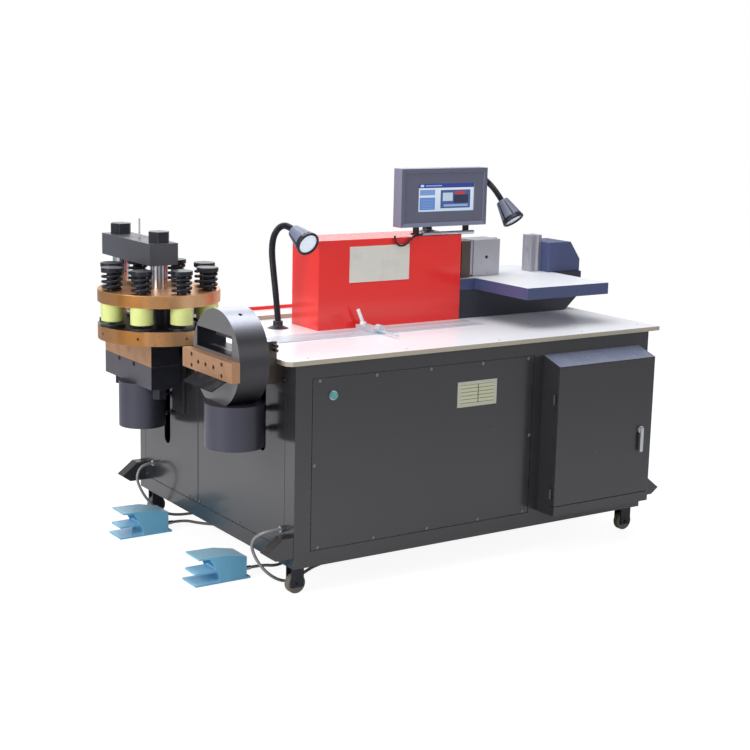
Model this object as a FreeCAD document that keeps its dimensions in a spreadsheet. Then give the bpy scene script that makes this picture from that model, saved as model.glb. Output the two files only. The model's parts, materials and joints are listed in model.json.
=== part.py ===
import FreeCAD, Part
import math
import os
import Sketcher

# Busbar workshop machine: a wheeled cabinet with a work table, a turret punch and a shear on its
# left end, and a horizontal bending press on top. Lengths are in millimetres, angles in degrees.
# X runs to the right along the cabinet's front, Y away from the front, Z up from the floor.
# Places are counted from the cabinet's front left corner, and place() moves them to the frame.

DOC = FreeCAD.newDocument("BusbarMachine")

# Driving dimensions
SIZES = {
    "ride": 92.0, "cab_len": 1440.0, "cab_depth": 1105.0, "cab_rise": 639.0,
    "tube": 44.0, "post_face": 59.0, "low_rail": 50.0, "top_rail": 43.0,
    "panel": 3.0, "panel_lap": 15.0, "seam": 2.0, "front_panel_len": 866.0, "pan": 4.0,
    "split_rear": 461.0, "split_gap": 6.0, "side_post": 45.0, "slot_w": 45.0,
    "slot_front_y": 203.0, "slot_front_drop": 319.0, "slot_back": 160.0, "slot_rear_drop": 443.0,
    "slot_rise": 200.0,
    "table_t": 15.0, "table_left": 30.0, "table_right": 46.0, "table_front": 6.0,
    "table_chamfer": 16.0, "gap": 0.3,
    "deck_t": 15.0, "deck_gap": 111.0, "deck_x": 125.0, "fence_in": 116.0, "fence_t": 12.0,
    "screw_r": 6.0, "screw_head": 2.5,
    "elbox_x": 965.0, "elbox_len": 430.0, "elbox_deep": 86.0, "elbox_low": 143.0,
    "elbox_top": 46.0, "elbox_slope": 27.0, "sheet": 2.0, "door_low": 35.0, "door_t": 16.0,
    "door_gap": 2.0, "hinge_r": 5.0, "hinge_len": 34.0, "hinge_low": 60.0, "hinge_top": 130.0,
    "latch_x": 55.0, "latch_z": 263.0, "latch_r": 13.0, "latch_t": 8.0, "lever_len": 78.0,
    "lever_w": 14.0, "lever_t": 7.0, "latch_stem": 20.0,
    "button_x": 132.0, "button_drop": 116.0, "button_r": 11.0, "bezel_r": 15.0, "bezel_t": 5.0,
    "button_out": 9.0, "button_travel": 4.0, 
    "plate_x": 608.0, "plate_drop": 206.0, "plate_len": 160.0, "plate_rise": 84.0, "plate_t": 1.5,
    "rivet_r": 3.0, "rivet_in": 9.0,
    "house_x": 341.0, "house_len": 588.0, "house_y": 433.0, "house_wide": 174.0,
    "house_rise": 302.0, "house_wall": 6.0, "label_x": 462.0, "label_up": 156.0,
    "label_len": 244.0, "label_rise": 122.0,
    "ram_up": 211.0, "ram_r": 36.0, "ram_bore": 40.0, "jack_r": 70.0, "jack_x": 385.0,
    "jack_len": 380.0, "ram_gap": 20.0, "ram_plate": 40.0, "ram_plate_w": 130.0,
    "ram_low_up": 144.5, "ram_high_up": 274.0, "rod_r": 9.0, "rod_in": 12.0, "rod_back": 155.0,
    "spacer": 26.0, "spacer_in": 4.0, "punch_len": 119.0, "punch_w": 96.0, "nose": 24.0,
    "nose_hole_r": 6.0, "ram_stroke": 143.0,
    "bend_len": 571.0, "bend_low_len": 500.0, "bend_low_rise": 62.0, "bend_y": 438.0,
    "bend_wide": 164.0, "bend_top_up": 143.0, "bend_table_t": 41.0, "bend_x": 1001.0,
    "bend_table_len": 370.0, "bend_front": 144.0, "bend_back": 700.0, "bend_skin": 3.0,
    "die_x": 1299.0, "die_w": 50.0, "die_rise": 135.0, "die_vee": 9.0, "stop_rise": 110.0,
    "stop_wide": 140.0, "stop_slant_x": 47.0, "stop_slant_z": 66.0,
    "strip_y": 290.0, "strip_wide": 106.0, "strip_len": 825.0, "strip_x": 108.0, "strip_t": 3.0,
    "clamp_len": 44.0, "clamp_wide": 112.0, "clamp_rise": 14.0,
    "knob_r": 11.0,
    "stem_r": 4.0, 
    "screen_x": 655.0, "screen_wide": 366.0, "screen_rise": 200.0, "screen_deep": 48.0,
    "screen_y": 415.0, "screen_up": 34.0, "bezel_in": 14.0, "glass_wide": 238.0,
    "glass_rise": 96.0, "glass_t": 2.0, "screen_wall": 3.0, "screen_tilt": 12.0,
    "foot_t": 5.0, "foot_wide": 222.0, "foot_deep": 70.0, "pivot_r": 7.0, "ear_t": 6.0,
    "ear_w": 30.0, "ear_in": 60.0,
    "lamp_base_r": 37.0, "lamp_base_t": 9.0, "lamp_boss_r": 17.0, "lamp_boss_t": 16.0,
    "neck_r": 9.5, "lamp_x": 252.0, "lamp_y": 547.0, "lamp_two_x": 870.0, "lamp_two_y": 560.0,
    "head_len": 82.0, "head_r": 41.0, "head_back_r": 23.0, "head_wall": 2.0, "lens_in": 5.0,
    "lens_t": 3.0,
    "turret_x": 105.0, "turret_rear": 385.0, "disc_r": 203.0, "disc_t": 47.0, "low_disc_drop": 28.0,
    "high_disc_up": 95.0, "pitch_r": 168.0, "disc_clear": 9.0,
    "column_r": 29.0, "column_gap": 304.0, "bush_r": 44.0, "hole_r": 16.3, "die_hole_r": 13.0,
    "anvil_drop": 124.0, "anvil_w": 103.0, "anvil_front": 44.0, "anvil_len": 374.0,
    "bolster_drop": 201.0, "beam_front": 38.0, "beam_len": 386.0, "beam_up": 214.0, "beam_t": 73.0,
    "nut_flat_r": 37.5, "nut_rise": 37.0, "low_nut_r": 25.0, "low_nut_rise": 40.0,
    "gauge_r": 3.2, "gauge_rise": 66.0, "yoke_len": 250.0, "yoke_drop": 306.0, "yoke_rise": 260.0,
    "yoke_flange": 12.0, "punch_jack_r": 80.0, "punch_jack_drop": 358.0, "press_stroke": 25.0,
    "punch_r": 16.0, "point_r": 10.5, "point_up": 68.0, "cap_r": 36.0, "cap_up": 199.0,
    "cap_rise": 14.0, "cap_wall": 4.4, "ring_r": 37.0, "ring_bore": 20.0,
    "ring_up": 38.0, "insert_r": 41.0, "insert_t": 8.0, "wire_r": 5.0, "coil_r": 29.0,
    "coil_pitch": 17.0,
    "shear_x": 129.5, "shear_y": 172.0, "shear_drop": 3.0, "shear_r": 151.0, "shear_t": 101.0,
    "throat_w": 225.0, "throat_low": 20.0, "throat_rise": 62.0, "throat_y": 70.0,
    "tool_len": 321.0, "tool_rise": 60.0, "tool_t": 28.0, "tool_y": 18.0, "tool_drop": 53.0,
    "shear_jack_r": 92.0, "shear_jack_y": 145.0, "shear_jack_drop": 275.0, "blade_t": 14.0,
    "blade_rise": 40.0, "shear_stroke": 60.0, 
    "neck_w": 170.0, "neck_rise": 62.0, "tray_w": 190.0, "tray_out": 46.0, "tray_drop": 28.0,
    "tray_t": 3.0, "port_r": 13.0, "hose_r": 9.0,
    "tank_x": 120.0, "tank_y": 330.0, "tank_len": 460.0, "tank_wide": 420.0, "tank_rise": 260.0,
    "motor_r": 95.0, "motor_len": 260.0, "motor_flange": 14.0, "pump_r": 60.0,
    "pump_len": 120.0, "valve_len": 220.0, "valve_wide": 110.0, "valve_rise": 90.0,
    "wheel_r": 32.0, "wheel_t": 24.0, "axle_r": 5.0, "fork_t": 4.0, "fork_w": 44.0,
    "fork_gap": 2.0, "wheel_x": 33.0, "wheel_y": 46.0, "rear_wheel": 60.0, "fork_lip": 8.0,
    "lug_w": 45.0, "lug_y": 2.0, "lug_rear": 47.0, "lug_z": 128.0, "lug_rise": 67.0, "lug_out": 93.0,
    "lug_flat": 34.0, "lug_tip": 31.0, 
    "pedal_len": 196.0, "pedal_wide": 95.0, "pedal_rise": 91.0, "pedal_x": 215.0,
    "pedal_front_y": 236.0, "pedal_rear": 299.0, "foot_base": 6.0, "foot_wall": 5.0,
    "block_len": 90.0, "tread_z": 42.0, "tread_t": 7.0, "tread_len": 90.0, "tread_gap": 4.0,
    "tread_angle": 9.0, "hinge_pin_r": 4.0, "gland_r": 7.0, "gland_len": 28.0,
    "gland_y": 26.0, "gland_z": 26.0, "cord_r": 5.0, "outlet_r": 10.0, "outlet_len": 16.0,
    "outlet_front_y": 58.0, "outlet_rear": 133.0, "outlet_z": 210.0,
    "stop_x": 500.0, "clamp_y": 300.0, "cap_in": 12.0, "wand_r": 3.5, "wand_len": 98.0,
    "lever_r": 6.0, "lever_reach": 52.0, "lever_angle": 24.0, "knob_z": 8.0,
    "jack_wall": 14.0, "piston_t": 30.0, "jack_back": 138.0, "stud_r": 20.0,
    "rod_clear": 0.5, "hose_rise": 66.0, "hose_low": 24.0, "hinge_leaf": 14.0,
    "loop_r": 3.5, "roof_t": 5.0, "roof_tip": 12.0, "block_rise": 74.0, "web_in": 52.0,
    "foot_x": 762.0,
    "shear_slot": 60.0, "blade_rod_r": 6.5, "tool_hole_r": 7.0,
    "shear_flat": 135.0, "tray_tab": 14.0, "mark_r": 5.0, "mark_deep": 8.0,
    "neck_y": 80.0, "neck_drop": 80.0, "flange_len": 47.0, "flange_y": 60.0, "flange_w": 180.0,
    "flange_rise": 72.0, "flange_bolt_x": 45.0, "flange_bolt_up": 44.0, "flange_bolt_gap": 14.0,
    "flange_bolt_out": 25.0, "tray_y": 55.0, "window_shift": 10.0,
    "gear_in": 12.0, "neck_reach": 200.0, "loop_x": 638.0,
    "high_disc_t": 41.0, "hold_rise": 30.0, "hold_t": 30.0, "port_lean": 24.0, "port_deep": 30.0,
}

SHEET = DOC.addObject("Spreadsheet::Sheet", "Sizes")
for row, (word, number) in enumerate(SIZES.items(), 1):
    SHEET.set(f"A{row}", word)
    SHEET.set(f"B{row}", str(number))
    SHEET.setAlias(f"B{row}", word)
DOC.recompute()


class Size:
    """A length that knows its number and the sheet formula that it comes from."""

    def __init__(self, number, formula):
        self.number = float(number)
        self.formula = formula

    def __add__(self, other):
        other = size(other)
        return Size(self.number + other.number, f"({self.formula} + {other.formula})")

    def __radd__(self, other):
        return size(other) + self

    def __sub__(self, other):
        other = size(other)
        return Size(self.number - other.number, f"({self.formula} - {other.formula})")

    def __rsub__(self, other):
        return size(other) - self

    def __mul__(self, other):
        other = size(other)
        return Size(self.number * other.number, f"({self.formula} * {other.formula})")

    def __rmul__(self, other):
        return size(other) * self

    def __truediv__(self, other):
        other = size(other)
        return Size(self.number / other.number, f"({self.formula} / {other.formula})")

    def __neg__(self):
        return Size(-self.number, f"(0 - {self.formula})")

    def __float__(self):
        return self.number


def size(value):
    """Give any value as a Size."""
    if isinstance(value, Size):
        return value
    return Size(value, repr(float(value)))


class Names:
    """Reads a driving dimension from the sheet by its name."""

    def __getattr__(self, word):
        return Size(SHEET.get(word), f"Sizes.{word}")


S = Names()
ZERO = size(0)


def bind(thing, **values):
    """Bind properties of an object to sheet formulas."""
    for name, value in values.items():
        thing.setExpression(name, size(value).formula)
    return thing


# Places worked out from the driving dimensions
CAB_TOP = S.ride + S.cab_rise
TABLE_TOP = CAB_TOP + S.table_t
TURRET_Y = S.cab_depth - S.turret_rear
DECK_Y = S.house_y + S.house_wide + S.deck_gap
FENCE_Y = DECK_Y + S.fence_in
LUG_REAR_Y = S.cab_depth - S.lug_rear
OUTLET_REAR_Y = S.cab_depth - S.outlet_rear
PEDAL_REAR_Y = S.cab_depth - S.pedal_rear
SIDE_SPLIT = S.cab_depth - S.split_rear
ANVIL_Y = TURRET_Y - S.anvil_front
BEAM_Y = TURRET_Y - S.beam_front
SLOT_REAR_Y = TURRET_Y + S.slot_back
PUNCH_JACK_Y = TURRET_Y + S.jack_back
TURRET_X = -S.turret_x
PUNCH_Y = TURRET_Y + S.column_gap / 2
RAM_Y = S.house_y + S.house_wide / 2
HOUSE_RIGHT = S.house_x + S.house_len
HOUSE_TOP = TABLE_TOP + S.house_rise
SLOT_FRONT_Z = TABLE_TOP - S.slot_front_drop
SLOT_REAR_Z = TABLE_TOP - S.slot_rear_drop
BUTTON_Z = TABLE_TOP - S.button_drop
PLATE_Z = TABLE_TOP - S.plate_drop
LABEL_Z = TABLE_TOP + S.label_up
RAM_Z = TABLE_TOP + S.ram_up
RAM_LOW = TABLE_TOP + S.ram_low_up
RAM_HIGH = TABLE_TOP + S.ram_high_up
BEND_TOP_Z = TABLE_TOP + S.bend_top_up
SCREEN_Z = HOUSE_TOP + S.screen_up
LOW_DISC_Z = TABLE_TOP - S.low_disc_drop
HIGH_DISC_Z = TABLE_TOP + S.high_disc_up
ANVIL_Z = TABLE_TOP - S.anvil_drop
BOLSTER_Z = TABLE_TOP - S.bolster_drop
BEAM_Z = TABLE_TOP + S.beam_up
YOKE_Z = TABLE_TOP - S.yoke_drop
PUNCH_JACK_Z = TABLE_TOP - S.punch_jack_drop
POINT_Z = TABLE_TOP + S.point_up
CAP_Z = TABLE_TOP + S.cap_up
RING_Z = TABLE_TOP + S.ring_up
SHEAR_Z = TABLE_TOP - S.shear_drop
TOOL_Z = TABLE_TOP - S.tool_drop
SHEAR_JACK_Z = TABLE_TOP - S.shear_jack_drop
NECK_Z = TABLE_TOP - S.neck_drop
FLANGE_BOLT_Z = TABLE_TOP + S.flange_bolt_up
BEND_LOW_TOP = BEND_TOP_Z - S.bend_table_t
SHEAR_LEFT = -S.shear_x - S.shear_t / 2
ELBOX_RISE = CAB_TOP - S.elbox_low - S.elbox_slope - S.elbox_top
HINGE_HIGH = ELBOX_RISE - S.hinge_top
LATCH_FRONT = S.elbox_deep + S.latch_t + S.lever_t
FRAME_X = (S.cab_len + S.lug_out + TURRET_X - S.pitch_r - S.cap_r) / 2
FRAME_Y = (S.cab_depth + S.table_front - LATCH_FRONT) / 2


def place(thing, x=ZERO, y=ZERO, z=ZERO, turn=None):
    """Put an object at a place counted from the cabinet's corner, turned about an axis."""
    if turn:
        axis, angle = turn
        base = thing.Placement.Base
        thing.Placement = FreeCAD.Placement(base, FreeCAD.Rotation(FreeCAD.Vector(*axis), angle))
    places = {
        ".Placement.Base.x": size(x) - FRAME_X,
        ".Placement.Base.y": size(y) - FRAME_Y,
        ".Placement.Base.z": size(z),
    }
    for name, value in places.items():
        thing.setExpression(name, value.formula)
    return thing


def point(x, y, z):
    """A point in the frame, for shapes that are made from points."""
    return FreeCAD.Vector(float(size(x) - FRAME_X), float(size(y) - FRAME_Y), float(size(z)))


NODES = {}


def node(name, thing):
    """Name a finished sub-part, which is written to a file of that name."""
    thing.Label = name
    NODES[name] = thing
    return thing


# Solids
ALONG = {"x": ((0, 1, 0), 90), "y": ((1, 0, 0), -90), "z": None}


def box(x, y, z, length, width, height):
    thing = DOC.addObject("Part::Box", "Block")
    bind(thing, Length=length, Width=width, Height=height)
    return place(thing, x, y, z)


def rod(x, y, z, radius, length, along="z"):
    thing = DOC.addObject("Part::Cylinder", "Rod")
    bind(thing, Radius=radius, Height=length)
    return place(thing, x, y, z, ALONG[along])


def cone(x, y, z, radius, end_radius, length, along="z"):
    thing = DOC.addObject("Part::Cone", "Taper")
    bind(thing, Radius1=radius, Radius2=end_radius, Height=length)
    return place(thing, x, y, z, ALONG[along])


def hexagon(x, y, z, radius, length):
    thing = DOC.addObject("Part::Prism", "Hexagon")
    thing.Polygon = 6
    bind(thing, Circumradius=radius, Height=length)
    return place(thing, x, y, z)


def fuse(*things):
    thing = DOC.addObject("Part::MultiFuse", "Joined")
    thing.Shapes = list(things)
    thing.Refine = True
    return thing


def group(*things):
    thing = DOC.addObject("Part::Compound", "Group")
    thing.Links = list(things)
    return thing


def cut(base, *tools):
    thing = DOC.addObject("Part::Cut", "Cut")
    thing.Base = base
    thing.Tool = tools[0] if len(tools) == 1 else group(*tools)
    return thing


def drill(x, y, z, radius, length, along="z"):
    """A cutting rod that starts one overrun early and ends one overrun late."""
    over = S.panel_lap
    early = {"x": x, "y": y, "z": z}
    early[along] = size(early[along]) - over
    return rod(early["x"], early["y"], early["z"], radius, length + over * 2, along)


def feature(shape):
    thing = DOC.addObject("Part::Feature", "Formed")
    thing.Shape = shape
    return thing


# Bodies made from sketches
FACES = {"xy": "XY_Plane", "xz": "XZ_Plane", "yz": "YZ_Plane"}


def body():
    return DOC.addObject("PartDesign::Body", "Body")


def sketch(owner, face):
    made = owner.newObject("Sketcher::SketchObject", "Sketch")
    plane = [f for f in owner.Origin.OriginFeatures if f.Role == FACES[face]][0]
    made.AttachmentSupport = (plane, [""])
    made.MapMode = "FlatFace"
    return made


def pin_down(made, shape, end, x, y):
    """Hold a point of a sketch at a place that the sheet gives."""
    for value, kind, axis in ((size(x), "DistanceX", -2), (size(y), "DistanceY", -1)):
        if value.number == 0:
            made.addConstraint(Sketcher.Constraint("PointOnObject", shape, end, axis))
        else:
            held = Sketcher.Constraint(kind, -1, 1, shape, end, value.number)
            index = made.addConstraint(held)
            made.setExpression(f"Constraints[{index}]", value.formula)


def outline(made, points):
    """Draw a closed outline of straight lines through points."""
    first = made.GeometryCount
    spots = [FreeCAD.Vector(float(size(x)), float(size(y)), 0) for x, y in points]
    count = len(points)
    for i in range(count):
        made.addGeometry(Part.LineSegment(spots[i], spots[(i + 1) % count]), False)
    for i in range(count):
        following = first + (i + 1) % count
        made.addConstraint(Sketcher.Constraint("Coincident", first + i, 2, following, 1))
    for i, (x, y) in enumerate(points):
        pin_down(made, first + i, 1, x, y)


def circle(made, x, y, radius):
    spot = FreeCAD.Vector(float(size(x)), float(size(y)), 0)
    upright = FreeCAD.Vector(0, 0, 1)
    index = made.addGeometry(Part.Circle(spot, upright, float(size(radius))), False)
    held = made.addConstraint(Sketcher.Constraint("Radius", index, float(size(radius))))
    made.setExpression(f"Constraints[{held}]", size(radius).formula)
    pin_down(made, index, 3, x, y)


def pad(owner, made, length, back=False):
    """Raise a sketch; with back the solid grows against the plane's normal."""
    raised = owner.newObject("PartDesign::Pad", "Pad")
    raised.Profile = made
    raised.Reversed = back
    bind(raised, Length=length)
    made.Visibility = False
    return raised


def pocket(owner, made, length, back=False):
    sunk = owner.newObject("PartDesign::Pocket", "Pocket")
    sunk.Profile = made
    sunk.Reversed = back
    bind(sunk, Length=length)
    return sunk


def plate_body(face, points, thickness, holes=(), back=False):
    """A flat piece: an outline with round holes, raised to its thickness."""
    owner = body()
    made = sketch(owner, face)
    outline(made, points)
    for x, y, radius in holes:
        circle(made, x, y, radius)
    pad(owner, made, thickness, back)
    return owner


def turned_body(points):
    """A turned piece: an outline of radius and height, turned about the upright axis."""
    owner = body()
    made = sketch(owner, "xz")
    outline(made, points)
    turn = owner.newObject("PartDesign::Revolution", "Turn")
    turn.Profile = made
    turn.ReferenceAxis = (made, ["V_Axis"])
    turn.Angle = 360
    return owner


def rectangle(x, y, length, width):
    return [(x, y), (x + length, y), (x + length, y + width), (x, y + width)]


# Routes of tubes: straight runs joined by tangent arcs
def route_wire(spots, name):
    count = len(spots)
    runs = [(spots[i + 1] - spots[i]) for i in range(count - 1)]
    edges = []
    radii = []
    start = spots[0]
    for i in range(1, count - 1):
        before = runs[i - 1]
        after = runs[i]
        turn = before.getAngle(after)
        short = min(before.Length, after.Length)
        trim = 0.45 * short
        radii.append(trim / math.tan(turn / 2))
        one = spots[i] - before * (trim / before.Length)
        two = spots[i] + after * (trim / after.Length)
        inward = after * (1 / after.Length) - before * (1 / before.Length)
        inward.normalize()
        bulge = radii[-1] / math.cos(turn / 2) - radii[-1]
        middle = spots[i] + inward * bulge
        edges.append(Part.LineSegment(start, one).toShape())
        edges.append(Part.Arc(one, middle, two).toShape())
        start = two
    edges.append(Part.LineSegment(start, spots[-1]).toShape())
    print(name, "least radius", round(min(radii), 1), "length", round(sum(e.Length for e in edges), 1))
    return Part.Wire(edges)


def tube(spots, radius, name, bore=None):
    """A round tube along a route; the volume is compared with its section times its length."""
    wire = route_wire(spots, name)
    along = spots[1] - spots[0]
    rings = [radius] if bore is None else [radius, bore]
    solids = []
    for ring in rings:
        profile = Part.Wire(Part.Circle(spots[0], along, float(size(ring))).toShape())
        solids.append(wire.makePipeShell([profile], True, False))
    made = solids[0] if bore is None else solids[0].cut(solids[1])
    area = math.pi * (float(size(radius)) ** 2 - (float(size(bore)) ** 2 if bore else 0))
    print(name, "volume share", round(made.Volume / (area * wire.Length), 4))
    return feature(made)


def corner_lugs():
    """Folded lugs at the foot of both ends, one near each corner."""
    rise = S.lug_rise
    out = S.lug_out
    points = [(ZERO, rise - S.lug_w), (S.lug_tip, ZERO), (out, ZERO), (out, rise),
              (out - S.lug_flat, rise)]
    made = []
    for y in (S.lug_y, LUG_REAR_Y):
        left = plate_body("xz", points, S.lug_w, back=True)
        place(left, -out, y, S.lug_z)
        made.append(left)
        mirrored = [(out - x, z) for x, z in points]
        right = plate_body("xz", mirrored, S.lug_w, back=True)
        place(right, S.cab_len, y, S.lug_z)
        made.append(right)
    return made


# Cabinet: welded frame with its windows, and the removable panels in them
def cabinet():
    outer = box(ZERO, ZERO, S.ride, S.cab_len, S.cab_depth, S.cab_rise)
    hollow = box(S.tube, S.tube, S.ride + S.pan, S.cab_len - S.tube * 2,
                 S.cab_depth - S.tube * 2, S.cab_rise)
    low = S.ride + S.low_rail
    high = CAB_TOP - S.top_rail
    lap = S.panel_lap
    rise = high - low
    split = SIDE_SPLIT
    left_one = split - S.split_gap / 2 - S.post_face
    left_two = S.cab_depth - S.side_post - split - S.split_gap / 2
    right_len = S.cab_depth - S.post_face * 2
    back_len = S.cab_len - S.post_face * 2
    box_room = S.elbox_len - S.tube * 2
    windows = [
        box(S.post_face + lap, -lap, low + lap, S.front_panel_len - lap * 2, S.tube + lap * 2,
            rise - lap * 2),
        box(S.post_face, ZERO, low, S.front_panel_len, S.panel, rise),
        box(S.elbox_x + S.tube, -lap, S.elbox_low + S.tube, box_room, S.tube + lap * 2,
            ELBOX_RISE - S.tube * 2),
        box(-lap, S.post_face + lap, low + lap, S.tube + lap * 2, left_one - lap * 2,
            rise - lap * 2),
        box(ZERO, S.post_face, low, S.panel, left_one, rise),
        box(-lap, split + S.split_gap / 2 + lap, low + lap, S.tube + lap * 2,
            left_two - lap * 2, rise - lap * 2),
        box(ZERO, split + S.split_gap / 2, low, S.panel, left_two, rise),
        box(S.cab_len - S.tube - lap, S.post_face + lap, low + lap, S.tube + lap * 2,
            right_len - lap * 2, rise - lap * 2),
        box(S.cab_len - S.panel, S.post_face, low, S.panel, right_len, rise),
        box(S.post_face + lap, S.cab_depth - S.tube - lap, low + lap, back_len - lap * 2,
            S.tube + lap * 2, rise - lap * 2),
        box(S.post_face, S.cab_depth - S.panel, low, back_len, S.panel, rise),
        rod(TURRET_X, TURRET_Y, LOW_DISC_Z - S.disc_clear, S.disc_r + S.disc_clear,
            S.cab_rise),
    ]
    node("cabinet_frame", fuse(cut(outer, hollow, *windows), *corner_lugs()))

    seam = S.seam
    front = plate_body("xz", rectangle(ZERO, ZERO, S.front_panel_len - seam * 2,
                                       rise - seam * 2), S.panel)
    place(front, S.post_face + seam, S.panel, low + seam)
    node("front_panel", front)

    def slotted(y, length, slot_y, slot_z):
        """A left panel with the rounded slot that its hoses pass through."""
        wide = S.slot_w / 2
        plate = box(ZERO, y + seam, low + seam, S.panel, length - seam * 2, rise - seam * 2)
        slot = box(-lap, slot_y - wide, slot_z + wide, S.panel + lap * 2, S.slot_w,
                   S.slot_rise)
        end = drill(ZERO, slot_y, slot_z + wide, wide, S.panel, "x")
        top = drill(ZERO, slot_y, slot_z + wide + S.slot_rise, wide, S.panel, "x")
        return cut(plate, slot, end, top)

    left = [
        slotted(S.post_face, left_one, S.slot_front_y, SLOT_FRONT_Z),
        slotted(split + S.split_gap / 2, left_two, SLOT_REAR_Y, SLOT_REAR_Z),
    ]
    right = box(S.cab_len - S.panel, S.post_face + seam, low + seam, S.panel,
                right_len - seam * 2, rise - seam * 2)
    vents = []
    for i in range(9):
        vents.append(box(S.cab_len / 2, S.cab_depth - S.panel - lap, high - S.tube * (2 + i),
                         S.cab_len / 4, S.panel + lap * 2, rise / 40))
    back = cut(box(S.post_face + seam, S.cab_depth - S.panel, low + seam,
                   back_len - seam * 2, S.panel, rise - seam * 2), *vents)
    node("side_panels", group(left[0], left[1], right, back))

    heads = []
    edge = lap / 2 + seam
    heights = (low + edge, high - edge)
    for z in heights:
        for share in (0.03, 0.27, 0.51, 0.75, 0.97):
            x = S.post_face + S.front_panel_len * share
            heads.append(rod(x, -S.screw_head, z, S.screw_r, S.screw_head, "y"))
    for x in (S.post_face + edge, S.post_face + S.front_panel_len - edge):
        heads.append(rod(x, -S.screw_head, low + rise / 2, S.screw_r, S.screw_head, "y"))
    mid_shares = (0.5, 0.15)
    starts = (S.post_face, split + S.split_gap / 2)
    for y, length, share in zip(starts, (left_one, left_two), mid_shares):
        for z in heights:
            for out in (edge, length * share, length - edge):
                heads.append(rod(-S.screw_head, y + out, z, S.screw_r, S.screw_head, "x"))
    node("panel_screws", group(*heads))


def table():
    length = S.cab_len + S.table_left + S.table_right
    depth = S.cab_depth + S.table_front * 2
    corner = S.table_chamfer
    points = [(corner, ZERO), (length, ZERO), (length, depth), (ZERO, depth), (ZERO, corner)]
    top = plate_body("xy", points, S.table_t)
    place(top, -S.table_left, -S.table_front, CAB_TOP)
    room = drill(TURRET_X, TURRET_Y, CAB_TOP, S.disc_r + S.disc_clear, S.table_t)
    node("table_top", cut(top, room))
    deck = box(S.deck_x, DECK_Y, TABLE_TOP, HOUSE_RIGHT - S.deck_x,
               S.cab_depth - DECK_Y, S.deck_t)
    fence = box(S.deck_x, FENCE_Y, TABLE_TOP + S.deck_t, HOUSE_RIGHT - S.deck_x,
                S.fence_t, S.fence_t)
    node("rear_deck", fuse(deck, fence))


def length_stop():
    """The scale strip with its groove, the stop that slides along it, and its clamp lever."""
    strip = box(S.strip_x, S.strip_y, TABLE_TOP, S.strip_len, S.strip_wide, S.strip_t)
    groove = box(S.strip_x - S.seam, S.strip_y + S.strip_wide * 0.44, TABLE_TOP + S.strip_t / 2,
                 S.strip_len + S.seam * 2, S.strip_wide * 0.12, S.strip_t)
    node("scale_strip", cut(strip, groove))
    base_z = TABLE_TOP + S.strip_t + S.gap
    slide = box(S.stop_x - S.clamp_len / 2, S.clamp_y, base_z, S.clamp_len, S.clamp_wide,
                S.clamp_rise)
    end = rod(S.stop_x, S.clamp_y - S.cap_in, base_z + S.clamp_rise, S.clamp_rise - S.gap,
              S.cap_in * 2, "y")
    wand = rod(S.stop_x, S.clamp_y - S.cap_in - S.wand_len, base_z + S.clamp_rise / 2,
               S.wand_r, S.wand_len, "y")
    node("stop_slide", fuse(slide, end, wand))
    y = S.clamp_y + S.clamp_wide - S.knob_r - S.gap
    z = base_z + S.clamp_rise
    boss = rod(S.stop_x, y, z, S.knob_r, S.knob_z)
    grip = DOC.addObject("Part::Cylinder", "Grip")
    bind(grip, Radius=S.lever_r, Height=S.lever_reach)
    place(grip, S.stop_x, y, z + S.knob_z / 2, ((0, -1, 0), float(S.lever_angle)))
    node("stop_lever", fuse(boss, grip))


def start_button():
    x, z = S.button_x, BUTTON_Z
    bezel = cut(rod(x, -S.bezel_t, z, S.bezel_r, S.bezel_t, "y"),
                drill(x, -S.bezel_t, z, S.button_r + S.gap, S.bezel_t, "y"))
    node("button_bezel", bezel)
    front = S.bezel_t + S.button_out
    node("start_button", rod(x, -front, z, S.button_r, front - S.button_travel - S.gap, "y"))


def name_plates():
    plate = box(S.plate_x, -S.plate_t, PLATE_Z, S.plate_len, S.plate_t,
                S.plate_rise)
    label = box(S.label_x, S.house_y - S.plate_t, LABEL_Z, S.label_len,
                S.plate_t, S.label_rise)
    pins = []
    for x in (S.plate_x + S.rivet_in, S.plate_x + S.plate_len - S.rivet_in):
        for z in (PLATE_Z + S.rivet_in, PLATE_Z + S.plate_rise - S.rivet_in):
            pins.append(rod(x, -S.plate_t * 2, z, S.rivet_r, S.plate_t, "y"))
    node("name_plates", group(fuse(plate, *pins), label))


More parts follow.
